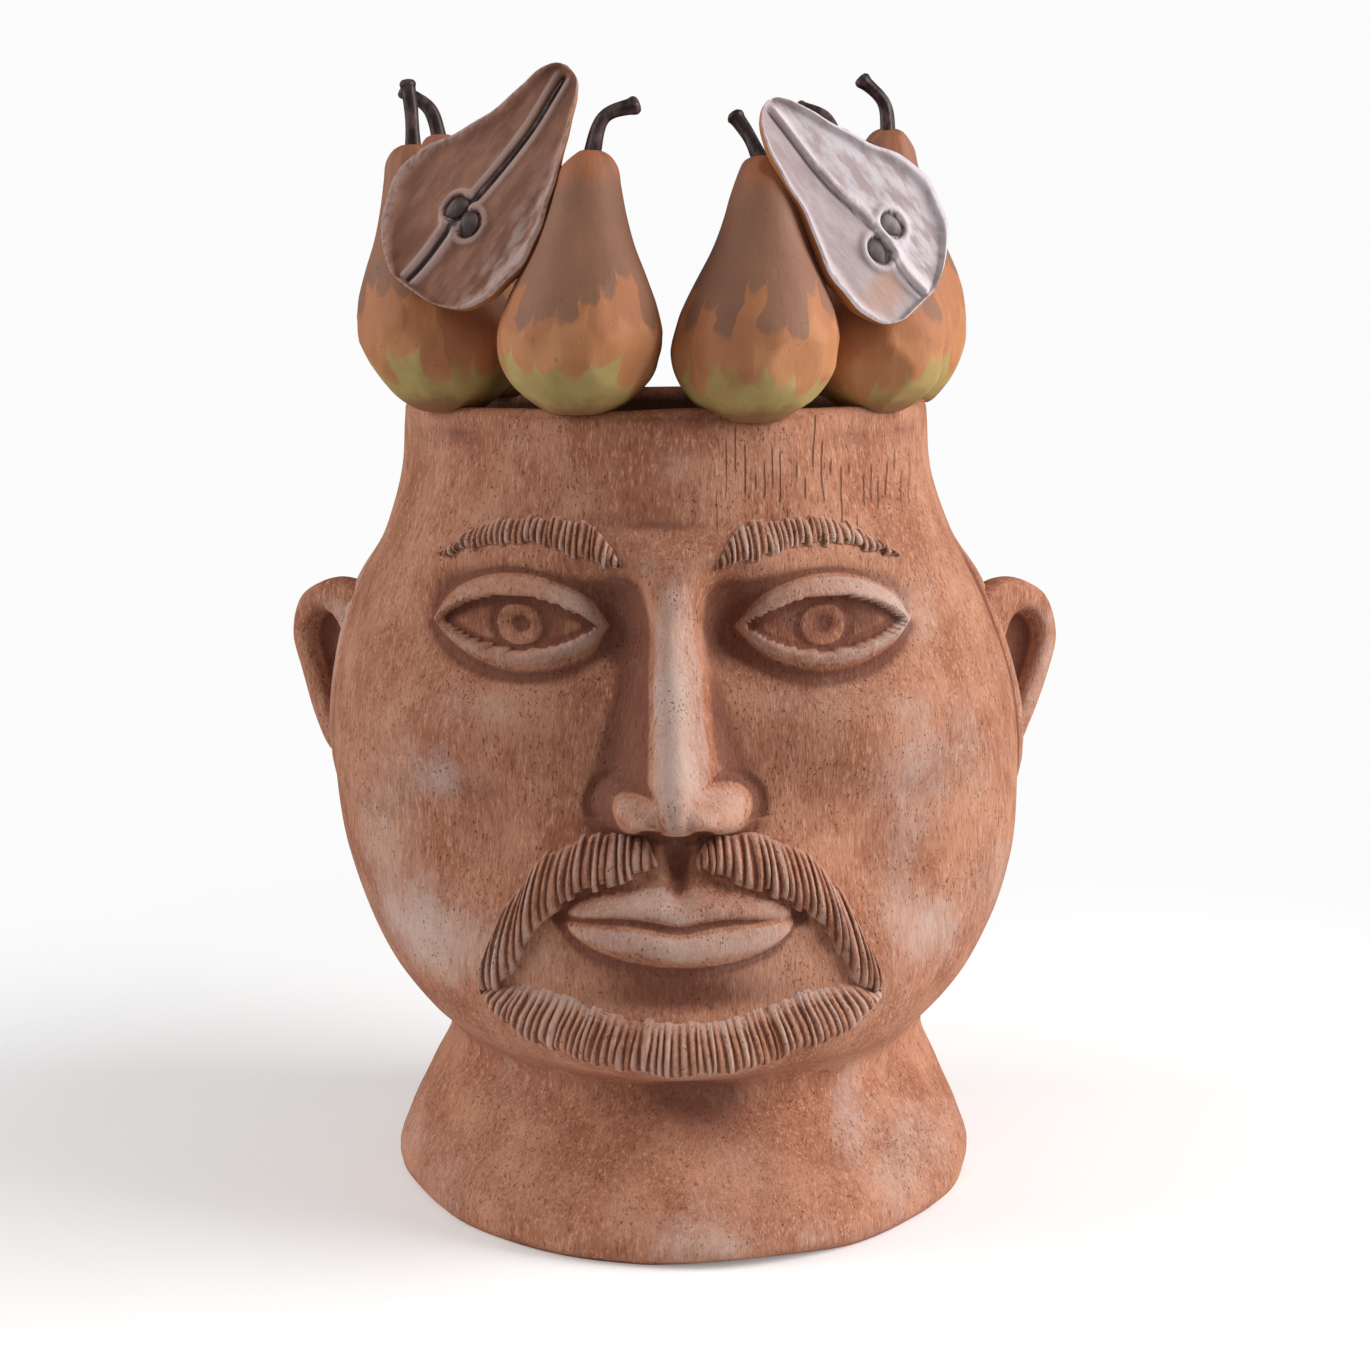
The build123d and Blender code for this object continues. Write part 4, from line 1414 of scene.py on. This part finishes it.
def cut_material(side, flesh, deep, light, blush, blush_place, light_edge):
    """Painted flesh of one half pear."""
    material, tree, _ = new_material(f"flesh_{side}")
    parts = parts_of(tree, attribute(tree, "paint", "Vector"))
    flow = joined(tree, parts["X"], times(tree, parts["Y"], 0.3))
    streak = noise(tree, flow, 0.22, 5.0, 0.6)
    fine = noise(tree, flow, 0.9, 4.0, 0.6)
    colour = blend(tree, soft_step(tree, streak, 0.35, 0.65), deep, flesh)
    streaked_x = add(tree, parts["X"], times(tree, streak, 16.0))
    near_edge = soft_step(tree, streaked_x, light_edge, light_edge + 12.0)
    colour = blend(tree, times(tree, near_edge, soft_step(tree, streak, 0.4, 0.6)), colour, light)
    away_x = maths(tree, "DIVIDE", minus(tree, parts["X"], blush_place[0]), 12.0)
    away_z = maths(tree, "DIVIDE", minus(tree, parts["Y"], blush_place[1]), 9.0)
    away = add(tree, times(tree, away_x, away_x), times(tree, away_z, away_z))
    glow = soft_step(tree, add(tree, away, streak), 1.9, 0.4)
    colour = blend(tree, times(tree, glow, 0.7), colour, blush)
    lip = soft_step(tree, attribute(tree, "lip"), 0.2, 0.8)
    colour = blend(tree, times(tree, lip, 0.85), colour, light)
    rim = soft_step(tree, attribute(tree, "rim"), 0.84, 0.97)
    colour = blend(tree, times(tree, rim, soft_step(tree, fine, 0.3, 0.6)), colour, light)
    # Painted shade in the grooves, beside the raised thread and round the seeds.
    groove = soft_step(tree, attribute(tree, "groove"), 0.25, 0.8)
    colour = blend(tree, groove, colour, paint(86, 70, 72))
    height = add(tree, streak, times(tree, fine, 0.15))
    finish_clay(tree, colour, 0.9, height, 0.3)
    return material


# flesh, deep, light and blush tones of each half
flesh_tones = {
    "left": (paint(172, 126, 106), paint(146, 102, 86), paint(192, 164, 156), paint(142, 96, 80)),
    "right": (paint(204, 187, 188), paint(186, 165, 165), paint(220, 209, 213), paint(206, 160, 138)),
}
flesh = {
    "left": cut_material("left", *flesh_tones["left"], blush_place=(-8.0, 18.0), light_edge=22.0),
    "right": cut_material("right", *flesh_tones["right"], blush_place=(-8.0, 15.0), light_edge=6.0),
}
rind, tree, place = new_material("rind")
parts = parts_of(tree, attribute(tree, "paint", "Vector"))
streak = noise(tree, place, 85.0, 5.0)
colour = blend(tree, streak, paint(168, 104, 54), paint(206, 140, 92))
low_end = soft_step(tree, add(tree, parts["Y"], times(tree, streak, 30.0)), 42.0, 24.0)
colour = blend(tree, times(tree, low_end, 0.6), colour, paint(150, 112, 58))
finish_clay(tree, colour, 0.62, streak, 0.6)
for side, half in half_pieces.items():
    half.data.materials.append(flesh[side])
    half.data.materials.append(rind)
    half.data.polygons.foreach_set("material_index", half_slots[side].astype(np.int32))
print("flesh and rind ready")

# %% [markdown]
# **Core slip and stem slip.** The threads and seeds are a grey mauve, darker on the left half
# than on the right. The stems have a dark brown slip with a dull shine, mottled with mauve.

# %% Core and stem materials


def core_material(name, deep, light, shine):
    """Slip for a thread or a stem, mottled between two colours."""
    material, tree, place = new_material(name)
    mottle = noise(tree, stretched(tree, place, 1.0, 1.0, 0.5), 210.0, 5.0, 0.65)
    colour = blend(tree, soft_step(tree, mottle, 0.42, 0.68), deep, light)
    finish_clay(tree, colour, shine, mottle, 0.4)
    return material


thread_slips = {
    "left": core_material("core_slip_left", paint(74, 62, 64), paint(120, 104, 106), 0.55),
    "right": core_material("core_slip_right", paint(186, 170, 172), paint(216, 205, 208), 0.75),
}
seed_slips = {
    "left": core_material("seed_slip_left", paint(78, 64, 62), paint(112, 94, 92), 0.5),
    "right": core_material("seed_slip_right", paint(120, 106, 106), paint(160, 148, 148), 0.55),
}
stem_slip = core_material("stem_slip", paint(44, 28, 26), paint(98, 76, 76), 0.45)
for side in half_pears:
    threads[side].data.materials.append(thread_slips[side])
    seeds[side].data.materials.append(seed_slips[side])
for stem in stems:
    stem.data.materials.append(stem_slip)
print("core and stem slips ready")

# %% [markdown]
# ## The floor slab
# The slab inside the foot is seen only from above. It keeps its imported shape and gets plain
# scraped clay.

# %% Floor slab
slab_clay, tree, place = new_material("slab_clay")
grain = use_group(tree, grain_group, Vector=place)
colour = blend(tree, grain["Mottle"], paint(150, 86, 60), paint(184, 120, 90))
colour = blend(tree, times(tree, grain["Pits"], 0.7), colour, paint(90, 48, 36))
finish_clay(tree, colour, 0.82, grain["Height"], 0.5)
slab = bpy.data.objects["floor_slab"]
slab.data.materials.clear()
slab.data.materials.append(slab_clay)
print("slab has", slab.data.materials[0].name)

# %% [markdown]
# ## The stage
# The planter stands on a pale sheet that fades into the white backdrop, so the floor shows only
# its soft shadow.

# %% Floor
sheet_radius = 0.85
sheet_mesh = bpy.data.meshes.new("stage_sheet")
turns = np.linspace(0, 2 * math.pi, 97)[:-1]
corners = [(math.cos(a) * sheet_radius, math.sin(a) * sheet_radius, 0.0) for a in turns]
sheet_mesh.from_pydata(corners, [], [list(range(len(corners)))])
sheet = bpy.data.objects.new("stage_sheet", sheet_mesh)
bpy.context.scene.collection.objects.link(sheet)

sheet_paint, tree, place = new_material("stage_sheet")
from_middle = node(tree, "ShaderNodeVectorMath", {0: place}, operation="LENGTH").outputs["Value"]
fade = soft_step(tree, from_middle, 0.26, 0.62)
pale = node(tree, "ShaderNodeBsdfDiffuse", {"Color": (0.9, 0.9, 0.9, 1.0)}).outputs[0]
seen = node(tree, "ShaderNodeLightPath").outputs["Is Camera Ray"]
lift = node(tree, "ShaderNodeEmission", {"Strength": times(tree, seen, 0.2)}).outputs[0]
white = node(tree, "ShaderNodeAddShader", {0: pale, 1: lift}).outputs[0]
clear = node(tree, "ShaderNodeBsdfTransparent").outputs[0]
shader = node(tree, "ShaderNodeMixShader", {"Fac": fade, 1: white, 2: clear}).outputs[0]
node(tree, "ShaderNodeOutputMaterial", {"Surface": shader})
sheet_mesh.materials.append(sheet_paint)
print("stage ready")
